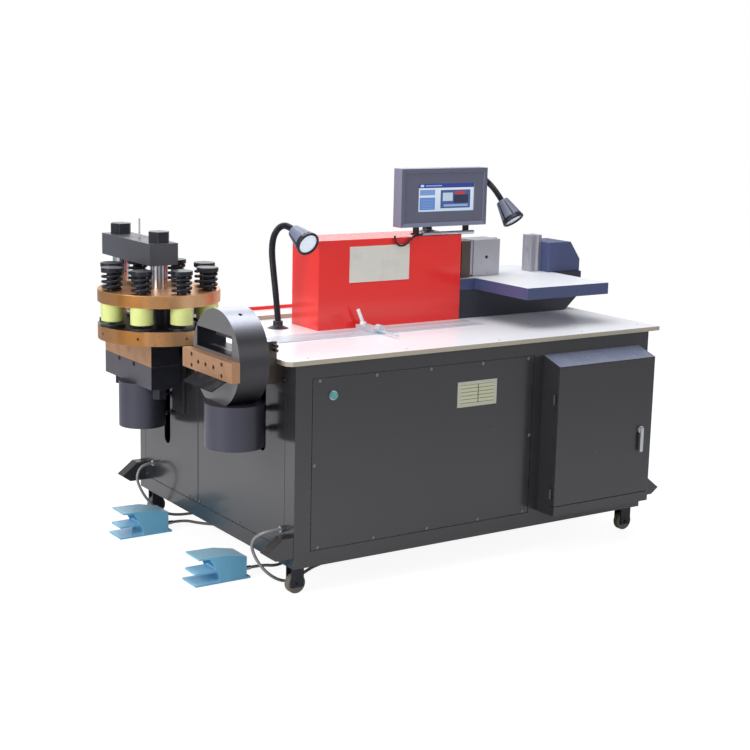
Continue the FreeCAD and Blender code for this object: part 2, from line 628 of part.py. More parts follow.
def electrical_box():
    """The box on the front: shell with its hinges, overlaid door, latch, and the gear inside."""
    low = S.elbox_low
    deep = S.elbox_deep
    rise = ELBOX_RISE
    wall = S.sheet
    points = [(ZERO, ZERO), (deep, ZERO), (deep, rise + S.elbox_slope), (ZERO, rise)]
    shell = plate_body("yz", points, S.elbox_len)
    place(shell, S.elbox_x, -deep, low)
    room = [(ZERO, ZERO), (deep, ZERO), (deep, rise + S.elbox_slope - wall * 2),
            (ZERO, rise - wall * 2)]
    hollow = plate_body("yz", room, S.elbox_len - wall * 2)
    place(hollow, S.elbox_x + wall, -deep - wall, low + wall)
    back = box(S.elbox_x + S.tube, -wall * 4, low + S.tube, S.elbox_len - S.tube * 2,
               wall * 8, rise - S.tube * 2)
    door_z = low + S.door_low
    door_rise = rise - S.door_low - S.door_gap
    front = -deep - S.gap
    room_for_door = box(S.elbox_x - wall, front, door_z - S.door_gap, S.elbox_len + wall * 2,
                        S.door_t + S.gap * 2, rise)
    trim = cut(room_for_door, box(S.elbox_x, front, low + rise - wall, S.elbox_len,
                                  S.door_t * 2, S.tube))
    sill = box(S.elbox_x + wall, -deep, low + wall, S.elbox_len - wall * 2, wall,
               S.door_low - wall - S.door_gap)
    hinge_x = S.elbox_x - S.hinge_r - S.gap
    hinge_y = -deep + S.door_t
    knuckles = []
    for z in (S.hinge_low, HINGE_HIGH):
        knuckles.append(rod(hinge_x, hinge_y, low + z, S.hinge_r, S.hinge_len))
        knuckles.append(box(hinge_x, hinge_y + S.gap * 2, low + z, S.hinge_r + S.gap + wall,
                            S.hinge_leaf, S.hinge_len))
    node("electrical_box", fuse(cut(shell, hollow, back, trim), sill, *knuckles))

    skin = box(S.elbox_x, -deep, door_z, S.elbox_len, S.door_t, door_rise)
    inner = box(S.elbox_x + wall, -deep + wall, door_z + wall, S.elbox_len - wall * 2,
                S.door_t, door_rise - wall * 2)
    latch_x = S.elbox_x + S.elbox_len - S.latch_x
    latch_z = low + S.latch_z
    hole = drill(latch_x, -deep, latch_z, S.stem_r + S.gap, S.door_t, "y")
    node("electrical_door", cut(skin, inner, hole))
    front = -deep - S.latch_t - S.gap
    rose = rod(latch_x, front, latch_z, S.latch_r, S.latch_t, "y")
    lever = box(latch_x - S.lever_w / 2, front - S.lever_t, latch_z - S.lever_len,
                S.lever_w, S.lever_t, S.lever_len + S.lever_w / 2)
    stem = rod(latch_x, front, latch_z, S.stem_r, S.latch_stem, "y")
    node("door_latch", fuse(rose, lever, stem))

    x = S.elbox_x + S.tube * 1.5
    length = S.elbox_len - S.tube * 3
    z = low + S.tube * 1.5
    tall = rise - S.tube * 3
    gear = S.tube * 0.7
    back = wall + S.gear_in
    modules = [box(S.elbox_x + S.tube * 0.8, -back, z, S.elbox_len - S.tube * 1.6, S.gear_in,
                   tall)]
    for line in range(3):
        for column in range(5):
            share = 0.06 + 0.18 * column
            modules.append(box(x + length * share, -back - gear,
                               z + tall * (0.32 * line + 0.04), length * 0.15, gear,
                               tall * (0.2 if line else 0.26)))
    node("control_gear", fuse(*modules))


def bending_press():
    wall = S.house_wall
    z = TABLE_TOP
    outer = box(S.house_x, S.house_y, z, S.house_len, S.house_wide, S.house_rise)
    inner = box(S.house_x + wall, S.house_y + wall, z - wall, S.house_len - wall * 2,
                S.house_wide - wall * 2, S.house_rise)
    hole = drill(HOUSE_RIGHT - wall, RAM_Y, RAM_Z, S.ram_r + S.gap * 2, wall, "x")
    rod_holes = []
    rod_ys = (RAM_Y - S.ram_plate_w / 2 + S.rod_in, RAM_Y + S.ram_plate_w / 2 - S.rod_in)
    for y in rod_ys:
        rod_holes.append(drill(HOUSE_RIGHT - wall, y, RAM_Z, S.rod_r + S.gap, wall, "x"))
    node("ram_housing", cut(outer, inner, hole, *rod_holes))

    jack = rod(S.jack_x, RAM_Y, RAM_Z, S.jack_r, S.jack_len, "x")
    bore = rod(S.jack_x + wall * 3, RAM_Y, RAM_Z, S.ram_bore, S.jack_len, "x")
    saddle = box(S.jack_x + S.jack_len / 4, S.house_y + wall * 2, z, S.jack_len / 2,
                 S.house_wide - wall * 4, RAM_Z - z)
    saddle_cut = cut(saddle, drill(S.jack_x, RAM_Y, RAM_Z, S.jack_r - S.sheet, S.jack_len,
                                   "x"))
    node("bending_cylinder", fuse(cut(jack, bore), saddle_cut))

    plate_x = HOUSE_RIGHT + S.ram_gap
    ram = rod(S.jack_x + wall * 4, RAM_Y, RAM_Z, S.ram_r, plate_x - S.jack_x - wall * 4, "x")
    plate = box(plate_x, RAM_Y - S.ram_plate_w / 2, RAM_LOW, S.ram_plate,
                S.ram_plate_w, RAM_HIGH - RAM_LOW)
    guides = [rod(HOUSE_RIGHT - S.rod_back, y, RAM_Z, S.rod_r, S.rod_back + S.ram_gap, "x")
              for y in rod_ys]
    node("bending_ram", fuse(ram, plate, *guides))

    block_x = plate_x + S.ram_plate + S.spacer
    inset = S.spacer_in
    rise = RAM_HIGH - RAM_LOW
    wide = S.punch_w
    half = wide / 2
    spacer = box(plate_x + S.ram_plate, RAM_Y - half + inset, RAM_LOW + inset, S.spacer,
                 wide - inset * 2, rise - inset * 2)
    length = S.punch_len
    points = [(ZERO, ZERO), (length, ZERO), (length, half - S.nose / 2),
              (length + S.nose, half), (length, half + S.nose / 2), (length, wide),
              (ZERO, wide)]
    block = plate_body("xy", points, rise)
    place(block, block_x, RAM_Y - half, RAM_LOW)
    eye = rod(block_x + length / 2, RAM_Y - half - inset, RAM_Z, S.nose_hole_r, half, "y")
    node("bending_punch", fuse(spacer, cut(block, eye)))

    slant = S.bend_len - S.bend_low_len
    top = BEND_LOW_TOP - TABLE_TOP
    end = HOUSE_RIGHT + S.bend_len
    points = [(ZERO, ZERO), (S.bend_low_len, ZERO), (S.bend_len, S.bend_low_rise),
              (S.bend_len, top + S.bend_table_t),
              (S.bend_x + S.bend_table_len - HOUSE_RIGHT + S.gap, top + S.bend_table_t),
              (S.bend_x + S.bend_table_len - HOUSE_RIGHT + S.gap, top), (ZERO, top)]
    frame = plate_body("xz", points, S.bend_wide, back=True)
    place(frame, HOUSE_RIGHT, S.bend_y, TABLE_TOP)
    node("bending_frame", frame)

    left = S.bend_x - HOUSE_RIGHT
    full = left + S.bend_table_len
    deep = S.bend_back - S.bend_front
    step = S.bend_y - S.bend_front
    points = [(left, ZERO), (full, ZERO), (full, deep), (ZERO, deep), (ZERO, step),
              (left, step)]
    deck = plate_body("xy", points, S.bend_table_t)
    place(deck, HOUSE_RIGHT, S.bend_front, BEND_LOW_TOP)
    skin = S.bend_skin
    under = box(S.bend_x + skin, S.bend_front + skin, BEND_LOW_TOP - skin,
                S.bend_table_len - skin * 2, step - skin * 2, S.bend_table_t - skin)
    node("bending_table", cut(deck, under))

    vee = S.die_vee
    side = S.die_w
    mid = side / 2
    points = [(ZERO, ZERO), (mid - vee, ZERO), (mid, vee), (mid + vee, ZERO), (side, ZERO),
              (side, side), (mid + vee, side), (mid, side - vee), (mid - vee, side),
              (ZERO, side), (ZERO, mid + vee), (vee, mid), (ZERO, mid - vee)]
    die = plate_body("xy", points, S.die_rise)
    place(die, S.die_x, RAM_Y - mid, BEND_TOP_Z + S.gap)
    node("bending_die", die)

    stop_x = S.die_x + side + S.gap
    length = end - stop_x
    points = [(ZERO, ZERO), (length, ZERO), (length, S.stop_rise - S.stop_slant_z),
              (length - S.stop_slant_x, S.stop_rise), (ZERO, S.stop_rise)]
    back = plate_body("xz", points, S.stop_wide, back=True)
    place(back, stop_x, RAM_Y - S.stop_wide / 2, BEND_TOP_Z + S.gap)
    node("die_backstop", back)


# The bends of the screen's cable, as shares of the same reach
LOOP_SHARES = ((0.64, 0.03, 0.035), (0.45, -0.02, 0.025), (0.33, -0.04, -0.04),
    (0.23, -0.045, -0.13), (0.1, -0.045, -0.145), (0.015, -0.045, -0.07), (0, -0.04, 0.04))


def screen():
    """Operator's screen; it tilts on the bar of its bracket, which stands on the housing."""
    wall = S.screen_wall
    x, y, z = S.screen_x, S.screen_y, SCREEN_Z
    deep = S.screen_deep
    case = box(x, y, z, S.screen_wide, deep, S.screen_rise)
    margin_x = (S.screen_wide - S.glass_wide) / 2 + S.window_shift
    margin_z = (S.screen_rise - S.glass_rise) / 2
    inset = S.bezel_in
    recess = box(x + inset, y - wall, z + inset, S.screen_wide - inset * 2, wall * 2,
                 S.screen_rise - inset * 2)
    window = box(x + margin_x, y - wall, z + margin_z, S.glass_wide, wall * 4, S.glass_rise)
    foot_x = S.foot_x
    pivot_y = y + deep + S.pivot_r + wall
    pivot_z = z + S.ear_in
    hangers = []
    for share in (0.24, 0.7):
        hanger_x = foot_x + S.foot_wide * share
        hanger = box(hanger_x, y + deep - wall, pivot_z - S.pivot_r * 2, S.ear_w / 2,
                     S.pivot_r * 3 + wall * 2, S.pivot_r * 4)
        hangers.append(cut(hanger, drill(hanger_x, pivot_y, pivot_z, S.pivot_r + S.gap,
                                         S.ear_w / 2, "x")))
    node("screen_case", fuse(cut(case, recess, window), *hangers))
    node("screen_glass", box(x + margin_x, y + wall * 3 - S.glass_t, z + margin_z,
                             S.glass_wide, S.glass_t, S.glass_rise))
    foot_y = S.house_y + S.ear_t
    foot = box(foot_x, foot_y, HOUSE_TOP, S.foot_wide, S.foot_deep, S.foot_t)
    lip = rod(foot_x, foot_y, HOUSE_TOP + S.pivot_r, S.pivot_r, S.foot_wide, "x")
    ears = []
    for ear_x in (foot_x, foot_x + S.foot_wide - S.ear_t):
        ears.append(box(ear_x, pivot_y - S.pivot_r, HOUSE_TOP, S.ear_t, S.ear_w,
                        pivot_z - HOUSE_TOP + S.pivot_r * 2))
    bar = rod(foot_x, pivot_y, pivot_z, S.pivot_r, S.foot_wide, "x")
    unit = S.neck_reach
    loop = tube([point(S.loop_x + unit * along, S.house_y + unit * out, HOUSE_TOP + unit * up)
                 for along, out, up in LOOP_SHARES], S.loop_r, "screen loop")
    node("screen_bracket", fuse(foot, lip, bar, loop, *ears))


# The bends of the lamps' necks from their feet, as shares of the necks' reach
LEFT_NECK_SHARES = ((0, 0, 0), (-0.05, -0.03, 0.35), (-0.15, -0.1, 0.825), (-0.245, -0.19, 1.22),
    (-0.265, -0.285, 1.49), (-0.19, -0.38, 1.65), (-0.115, -0.52, 1.655), (-0.1, -0.685, 1.58))
RIGHT_NECK_SHARES = ((0, 0, 0), (0.05, -0.015, 0.31), (0.19, -0.04, 0.62), (0.44, -0.08, 0.83),
    (0.75, -0.13, 0.91), (1.04, -0.17, 0.85), (1.26, -0.19, 0.69), (1.355, -0.29, 0.52),
    (1.385, -0.37, 0.41))


def lamp(base_x, base_y, base_z, offsets, name):
    """A lamp on a bent neck: foot, neck, and the head with its glass at the neck's end."""
    foot = cone(base_x, base_y, base_z, S.lamp_base_r, S.lamp_boss_r, S.lamp_base_t)
    boss = rod(base_x, base_y, base_z + S.lamp_base_t, S.lamp_boss_r, S.lamp_boss_t)
    start = base_z + S.lamp_base_t + S.lamp_boss_t
    unit = S.neck_reach
    spots = [point(base_x + unit * dx, base_y + unit * dy, start + unit * dz)
             for dx, dy, dz in offsets]
    neck = tube(spots, S.neck_r, name)
    away = spots[-1] - spots[-2]
    away.normalize()
    tip = spots[-1]
    long = float(S.head_len)
    wide = float(S.head_r)
    shell = Part.makeCone(float(S.head_back_r), wide, long, tip, away)
    thin = float(S.head_wall)
    deep = float(S.lens_in)
    rim = tip + away * long
    hollow = Part.makeCylinder(wide - thin * 2, deep, rim - away * deep, away)
    head = feature(shell.cut(hollow))
    lens = feature(Part.makeCylinder(wide - thin * 2 - float(S.gap), float(S.lens_t),
                                     rim - away * (deep - float(S.gap)), away))
    return foot, boss, neck, head, lens


def lamps():
    one = lamp(S.lamp_x, S.lamp_y, TABLE_TOP, LEFT_NECK_SHARES, "lamp neck one")
    two = lamp(S.lamp_two_x, S.lamp_two_y, HOUSE_TOP, RIGHT_NECK_SHARES, "lamp neck two")
    node("lamp_stands", group(fuse(one[0], one[1], one[2]), fuse(two[0], two[1], two[2])))
    node("lamp_heads", group(one[3], two[3], one[4], two[4]))


def disc_body(thickness, hole):
    """A turret disc: centre bore, one station hole repeated round it, softened rims."""
    owner = body()
    made = sketch(owner, "xy")
    circle(made, ZERO, ZERO, S.disc_r)
    circle(made, ZERO, ZERO, S.column_r + S.gap)
    pad(owner, made, thickness)
    DOC.recompute()
    station = sketch(owner, "xy")
    circle(station, ZERO, S.pitch_r, hole)
    sunk = pocket(owner, station, thickness, back=True)
    DOC.recompute()
    ring = owner.newObject("PartDesign::PolarPattern", "Stations")
    ring.Originals = [sunk]
    ring.Axis = (station, ["N_Axis"])
    ring.Angle = 360
    ring.Occurrences = 8
    owner.Tip = ring
    return owner


STATIONS = range(8)


def round_turret(make):
    """One copy of a piece at each station; the piece is made at the punching place."""
    made = []
    for step in STATIONS:
        angle = 90 + 45 * step
        across = math.cos(math.radians(angle))
        along = math.sin(math.radians(angle))
        made.append(make(TURRET_X + S.pitch_r * across, TURRET_Y + S.pitch_r * along, step))
    return made


def spring_shape(x, y, z):
    """One unbroken coil of round wire, on pairs of arcs of a quarter turn."""
    mean = float(S.coil_r)
    wire = float(S.wire_r)
    pitch = float(S.coil_pitch)
    top = float(CAP_Z + S.cap_rise - S.cap_wall - HIGH_DISC_Z - S.high_disc_t) - wire
    turns = (top - wire) / pitch
    quarters = max(2, round(turns * 4))
    centre = point(x, y, z)

    def spot(share):
        angle = 2 * math.pi * turns * share
        rise = wire + (top - wire) * share
        flat = FreeCAD.Vector(mean * math.cos(angle), mean * math.sin(angle), rise)
        return centre + flat

    def heading(share):
        angle = 2 * math.pi * turns * share
        climb = (top - wire) / (2 * math.pi * turns)
        way = FreeCAD.Vector(-mean * math.sin(angle), mean * math.cos(angle), climb)
        return way.normalize()

    def arc(start, way, end):
        chord = end - start
        unit = FreeCAD.Vector(chord).normalize()
        angle = way.getAngle(unit)
        side = (way - unit * math.cos(angle)).normalize()
        middle = start + chord / 2 + side * (chord.Length / 2 * math.tan(angle / 2))
        return Part.Arc(start, middle, end).toShape()

    edges = []
    for i in range(quarters):
        one, two = spot(i / quarters), spot((i + 1) / quarters)
        out, into = heading(i / quarters), heading((i + 1) / quarters)
        span = two - one
        lean = out + into
        first = 2 * (out.dot(into) - 1)
        second = -2 * span.dot(lean)
        third = span.dot(span)
        reach = (-second - math.sqrt(second ** 2 - 4 * first * third)) / (2 * first)
        joint = (one + out * reach + two - into * reach) / 2
        edges.append(arc(one, out, joint))
        back = arc(two, into * -1, joint)
        edges.append(back)
    path = Part.Wire(Part.sortEdges(edges)[0])
    profile = Part.Wire(Part.Circle(spot(0), heading(0), wire).toShape())
    return path.makePipeShell([profile], True, False), pitch - 2 * wire


def punch_station():
    disc = disc_body(S.disc_t, S.die_hole_r)
    place(disc, TURRET_X, TURRET_Y, LOW_DISC_Z + S.gap)
    marks = []
    for step in STATIONS:
        mark = DOC.addObject("Part::Cylinder", "Mark")
        bind(mark, Radius=S.mark_r, Height=S.mark_deep * 2)
        angle = math.radians(45 * step)
        reach = S.disc_r - S.mark_deep
        axis = (-math.sin(angle), math.cos(angle), 0)
        place(mark, TURRET_X + reach * math.cos(angle), TURRET_Y + reach * math.sin(angle),
              LOW_DISC_Z + S.disc_t / 2, (axis, 90))
        marks.append(mark)
    node("lower_turret", cut(disc, *marks))
    disc = disc_body(S.high_disc_t, S.hole_r)
    place(disc, TURRET_X, TURRET_Y, HIGH_DISC_Z)
    hub = cut(rod(TURRET_X, TURRET_Y, LOW_DISC_Z + S.gap + S.disc_t, S.bush_r,
                  HIGH_DISC_Z - LOW_DISC_Z - S.disc_t - S.gap),
              drill(TURRET_X, TURRET_Y, LOW_DISC_Z, S.column_r + S.gap,
                    HIGH_DISC_Z - LOW_DISC_Z))
    node("upper_turret", fuse(disc, hub))

    top = HIGH_DISC_Z + S.high_disc_t

    def punch(x, y, step):
        """A punch with its shaft, and the cup that sits over its spring."""
        shaft = rod(x, y, POINT_Z, S.punch_r, CAP_Z + S.cap_rise - POINT_Z)
        point_end = rod(x, y, POINT_Z - S.press_stroke, S.point_r, S.press_stroke)
        cup = rod(x, y, CAP_Z, S.cap_r, S.cap_rise)
        room = rod(x, y, CAP_Z - S.cap_wall, S.coil_r + S.wire_r + S.gap * 2, S.cap_rise)
        return fuse(shaft, point_end, cut(cup, room))

    punches = round_turret(punch)
    node("struck_punch", punches[0])
    node("turret_punches", group(*punches[1:]))

    coils = []

    def spring(x, y, step):
        shape, least = spring_shape(x, y, top)
        coils.append(least)
        return feature(shape)

    springs = round_turret(spring)
    node("struck_spring", springs[0])
    node("punch_springs", group(*springs[1:]))
    print("springs least gap", round(min(coils), 2))

    def ring(x, y, step):
        height = HIGH_DISC_Z - RING_Z
        return cut(rod(x, y, RING_Z, S.ring_r, height),
                   drill(x, y, RING_Z, S.ring_bore, height))

    node("stripper_rings", group(*round_turret(ring)))

    def insert(x, y, step):
        z = LOW_DISC_Z + S.gap + S.disc_t
        return cut(rod(x, y, z, S.insert_r, S.insert_t),
                   drill(x, y, z, S.die_hole_r, S.insert_t))

    node("die_inserts", group(*round_turret(insert)))

    x = TURRET_X - S.anvil_w / 2
    rear_y = TURRET_Y + S.column_gap
    anvil = box(x, ANVIL_Y, ANVIL_Z, S.anvil_w, S.anvil_len, LOW_DISC_Z - ANVIL_Z)
    bores = [drill(TURRET_X, y, ANVIL_Z, S.column_r + S.gap, LOW_DISC_Z - ANVIL_Z)
             for y in (TURRET_Y, rear_y)]
    slug = drill(TURRET_X, PUNCH_Y, ANVIL_Z, S.die_hole_r, LOW_DISC_Z - ANVIL_Z)
    node("punch_anvil", cut(anvil, *bores, slug))
    bolster = box(x, ANVIL_Y, BOLSTER_Z, S.anvil_w, S.anvil_len,
                  ANVIL_Z - BOLSTER_Z - S.gap)
    bores = [drill(TURRET_X, y, BOLSTER_Z, S.stud_r, ANVIL_Z - BOLSTER_Z)
             for y in (TURRET_Y, rear_y)]
    jack_y = PUNCH_JACK_Y
    piston_r = S.ram_bore * 0.7
    bores.append(drill(TURRET_X, jack_y, BOLSTER_Z, piston_r + S.rod_clear,
                       ANVIL_Z - BOLSTER_Z))
    node("punch_bolster", cut(bolster, *bores))

    # The barrel hangs under the bolster; its piston stands still and bears on the anvil
    node("punch_cylinder", barrel(TURRET_X, jack_y, PUNCH_JACK_Z, S.punch_jack_r,
                                  BOLSTER_Z, piston_r, SLOT_REAR_Y))
    arm_x = TURRET_X + S.anvil_w / 2
    flange = box(-S.yoke_flange, jack_y - S.yoke_len / 2, ANVIL_Z, S.yoke_flange,
                 S.yoke_len, LOW_DISC_Z - ANVIL_Z - S.yoke_flange)
    arm = box(arm_x, jack_y - S.yoke_len / 4, ANVIL_Z, -S.yoke_flange - arm_x,
              S.yoke_len / 2, LOW_DISC_Z - ANVIL_Z - S.yoke_flange)
    shield = box(-S.yoke_flange, jack_y - S.yoke_len / 2, YOKE_Z, S.yoke_flange,
                 S.yoke_len / 3, S.yoke_rise)
    node("punch_bracket", group(fuse(flange, arm, shield), piston(
        TURRET_X, jack_y, PUNCH_JACK_Z, S.punch_jack_r, ANVIL_Z, piston_r)))

    columns = []
    for y in (TURRET_Y, rear_y):
        low = BOLSTER_Z - S.low_nut_rise
        columns.append(fuse(
            rod(TURRET_X, y, ANVIL_Z - S.gap, S.column_r, BEAM_Z - ANVIL_Z + S.gap),
            rod(TURRET_X, y, low, S.stud_r, BEAM_Z + S.beam_t + S.nut_rise - low),
            hexagon(TURRET_X, y, low, S.low_nut_r, S.low_nut_rise),
            hexagon(TURRET_X, y, BEAM_Z + S.beam_t, S.nut_flat_r, S.nut_rise)))
    node("tie_columns", group(*columns))
    beam = box(TURRET_X - S.anvil_w / 2, BEAM_Y, BEAM_Z, S.anvil_w, S.beam_len, S.beam_t)
    bores = [drill(TURRET_X, y, BEAM_Z, S.stud_r, S.beam_t) for y in (TURRET_Y, rear_y)]
    gauge = rod(TURRET_X, TURRET_Y + S.column_gap / 2, BEAM_Z + S.beam_t, S.gauge_r, S.gauge_rise)
    node("press_beam", fuse(cut(beam, *bores), gauge))


def barrel(x, y, z, radius, top, rod_r, slot_y):
    """A cylinder barrel: bored, with a closed foot, and its two hoses on the cabinet's side."""
    wall = S.jack_wall
    body_rod = rod(x, y, z, radius, top - z)
    bore = rod(x, y, z + wall, radius - wall, top - z - wall * 2)
    neck = drill(x, y, top - wall, rod_r + S.rod_clear, wall)
    made = [cut(body_rod, bore, neck)]
    for lift in (S.hose_low, S.hose_low + S.hose_rise):
        height = z + lift
        inner = x + radius * 0.5
        made.append(rod(inner, slot_y, height, S.port_r, x + radius + wall / 2 - inner, "x"))
        made.append(rod(x + radius, slot_y, height, S.hose_r, S.tube - x - radius, "x"))
    joined = fuse(*made)
    return cut(joined, rod(x, y, z + wall, radius - wall, top - z - wall * 2))


def piston(x, y, z, radius, top, rod_r, lift=ZERO):
    """A piston with its rod, standing in a barrel."""
    wall = S.jack_wall
    low = z + wall * 2 + lift
    disc = rod(x, y, low, radius - wall - S.rod_clear, S.piston_t)
    return fuse(disc, rod(x, y, low, rod_r, top - low))


TOOL_SCREW_SHARES = ((0.81, 0.79), (0.81, 0.21), (0.67, 0.5), (0.52, 0.5), (0.36, 0.5),
                     (0.2, 0.79), (0.2, 0.21))


def shear_station():
    """Round housing with its throat, the tool block, and a blade that rises through a slot."""
    x = SHEAR_LEFT
    low_z = SHEAR_Z - S.shear_flat
    drum = cut(rod(x, S.shear_y, SHEAR_Z, S.shear_r, S.shear_t, "x"),
               box(x - S.tube, S.shear_y - S.shear_r, low_z - S.shear_r, S.shear_t + S.tube * 2,
                   S.shear_r * 2, S.shear_r))
    floor_z = SHEAR_Z + S.throat_low
    throat = box(x - S.tool_t, S.throat_y, floor_z, S.tool_t - x, S.throat_w, S.throat_rise)
    blade_x = x + S.shear_t / 2 - S.blade_t / 2
    slot = box(blade_x - S.gap, S.throat_y, floor_z - S.shear_slot, S.blade_t + S.gap * 2,
               S.throat_w, S.shear_slot + S.throat_rise)
    lap = S.panel_lap
    mid = x + S.shear_t / 2
    rod_r = S.blade_rod_r
    well = drill(mid, S.shear_jack_y, low_z, rod_r + S.rod_clear,
                 floor_z - S.shear_slot - low_z)
    seat = DOC.addObject("Part::Cylinder", "Port")
    bind(seat, Radius=S.nose_hole_r + S.gap * 2, Height=S.shear_r)
    lean = math.radians(float(S.port_lean))
    reach = S.shear_r - S.port_deep
    place(seat, mid, S.shear_y - reach * math.sin(lean), SHEAR_Z + reach * math.cos(lean),
          ((1, 0, 0), float(S.port_lean)))
    fixed = box(blade_x + S.blade_t + S.gap * 2, S.throat_y + lap,
                floor_z + S.throat_rise - S.hold_rise, S.hold_t, S.throat_w - lap * 2,
                S.hold_rise + S.blade_t / 2)
    right = x + S.shear_t
    neck = box(right - lap, S.neck_y, NECK_Z, lap - right, S.neck_w, S.neck_rise)
    flange = box(right - lap, S.flange_y, NECK_Z + S.neck_rise, S.flange_len + lap,
                 S.flange_w, S.flange_rise)
    bolts = []
    for step in range(2):
        bolts.append(rod(-S.flange_bolt_x, S.flange_y - S.flange_bolt_out,
                         FLANGE_BOLT_Z - S.flange_bolt_gap * step, S.rivet_r * 1.6,
                         S.flange_bolt_out + lap, "y"))
    base = fuse(cut(drum, throat, slot, well, seat), cut(fuse(neck, flange), throat, slot))
    node("shear_housing", fuse(base, fixed, *bolts))
    tool = plate_body("yz", rectangle(ZERO, ZERO, S.tool_len, S.tool_rise), S.tool_t,
                      [(S.tool_len * across, S.tool_rise * up, S.tool_hole_r)
                       for across, up in TOOL_SCREW_SHARES])
    place(tool, x - S.tool_t, S.tool_y, TOOL_Z)
    node("shear_tool_block", tool)
    low = floor_z - S.blade_rise
    blade = box(blade_x, S.throat_y + S.gap, low, S.blade_t, S.throat_w - S.gap * 2,
                S.blade_rise - S.gap)
    stem = rod(mid, S.shear_jack_y, SHEAR_JACK_Z + S.jack_wall * 2, rod_r,
               low - SHEAR_JACK_Z - S.jack_wall * 2)
    ring = rod(mid, S.shear_jack_y, SHEAR_JACK_Z + S.jack_wall * 2,
               S.shear_jack_r - S.jack_wall - S.rod_clear, S.piston_t)
    node("shear_blade", fuse(blade, stem, ring))
    node("shear_cylinder", barrel(mid, S.shear_jack_y, SHEAR_JACK_Z, S.shear_jack_r, low_z,
                                  rod_r, S.slot_front_y))
    thick = S.tray_t
    drop = S.tray_drop
    out = S.tray_out
    points = [(ZERO, ZERO), (out, drop - thick), (out + S.tray_tab, drop - thick),
              (out + S.tray_tab, drop), (out, drop), (ZERO, thick)]
    sheet = plate_body("xz", points, S.tray_w, back=True)
    place(sheet, x - S.tool_t - out, S.tray_y, TOOL_Z - drop)
    node("offcut_tray", sheet)


def power_pack():
    z = S.ride + S.pan
    tank = box(S.tank_x, S.tank_y, z, S.tank_len, S.tank_wide, S.tank_rise)
    room = box(S.tank_x + S.panel, S.tank_y + S.panel, z + S.panel, S.tank_len - S.panel * 2,
               S.tank_wide - S.panel * 2, S.tank_rise - S.panel * 2)
    valve = box(S.tank_x + S.tube, S.tank_y + S.tube, z + S.tank_rise, S.valve_len,
                S.valve_wide, S.valve_rise)
    motor_y = S.tank_y + S.tank_wide - S.motor_r - S.tube
    motor_z = z + S.tank_rise + S.motor_r + S.pan
    motor_x = S.tank_x + S.pump_len
    motor = rod(motor_x, motor_y, motor_z, S.motor_r, S.motor_len, "x")
    flange = rod(motor_x - S.motor_flange, motor_y, motor_z, S.motor_r, S.motor_flange, "x")
    pump = rod(motor_x - S.pump_len, motor_y, motor_z, S.pump_r,
               S.pump_len - S.motor_flange, "x")
    foot = box(motor_x + S.tube, motor_y - S.tube, z + S.tank_rise, S.motor_len / 2,
               S.tube * 2, S.motor_r / 2)
    node("power_pack", group(cut(tank, room), fuse(motor, flange, foot, pump), valve))


def casters():
    """Four fixed casters under the frame: bracket, axle, and a wheel of its own each."""
    forks = []
    for name, x, y in (("front_left", S.wheel_x, S.wheel_y),
                       ("front_right", S.cab_len - S.wheel_x, S.wheel_y),
                       ("rear_left", S.wheel_x, S.cab_depth - S.rear_wheel),
                       ("rear_right", S.cab_len - S.wheel_x,
                        S.cab_depth - S.rear_wheel)):
        inner = S.wheel_t / 2 + S.fork_gap
        top = box(x - S.fork_w / 2, y - inner - S.fork_t - S.fork_lip, S.ride - S.fork_t,
                  S.fork_w, (inner + S.fork_t + S.fork_lip) * 2, S.fork_t)
        low = S.wheel_r - S.axle_r * 2
        cheeks = [box(x - S.fork_w / 2, y - inner - S.fork_t, low, S.fork_w, S.fork_t,
                      S.ride - low),
                  box(x - S.fork_w / 2, y + inner, low, S.fork_w, S.fork_t, S.ride - low)]
        axle = rod(x, y - inner - S.fork_t * 2, S.wheel_r, S.axle_r,
                   (inner + S.fork_t * 2) * 2, "y")
        forks.append(fuse(top, axle, *cheeks))
        points = [(S.axle_r + S.gap, ZERO), (S.wheel_r - S.sheet, ZERO),
                  (S.wheel_r, S.sheet), (S.wheel_r, S.wheel_t - S.sheet),
                  (S.wheel_r - S.sheet, S.wheel_t), (S.axle_r + S.gap, S.wheel_t)]
        wheel = turned_body(points)
        place(wheel, x, y + S.wheel_t / 2, S.wheel_r, ((1, 0, 0), 90))
        node("wheel_" + name, wheel)
    node("caster_brackets", group(*forks))


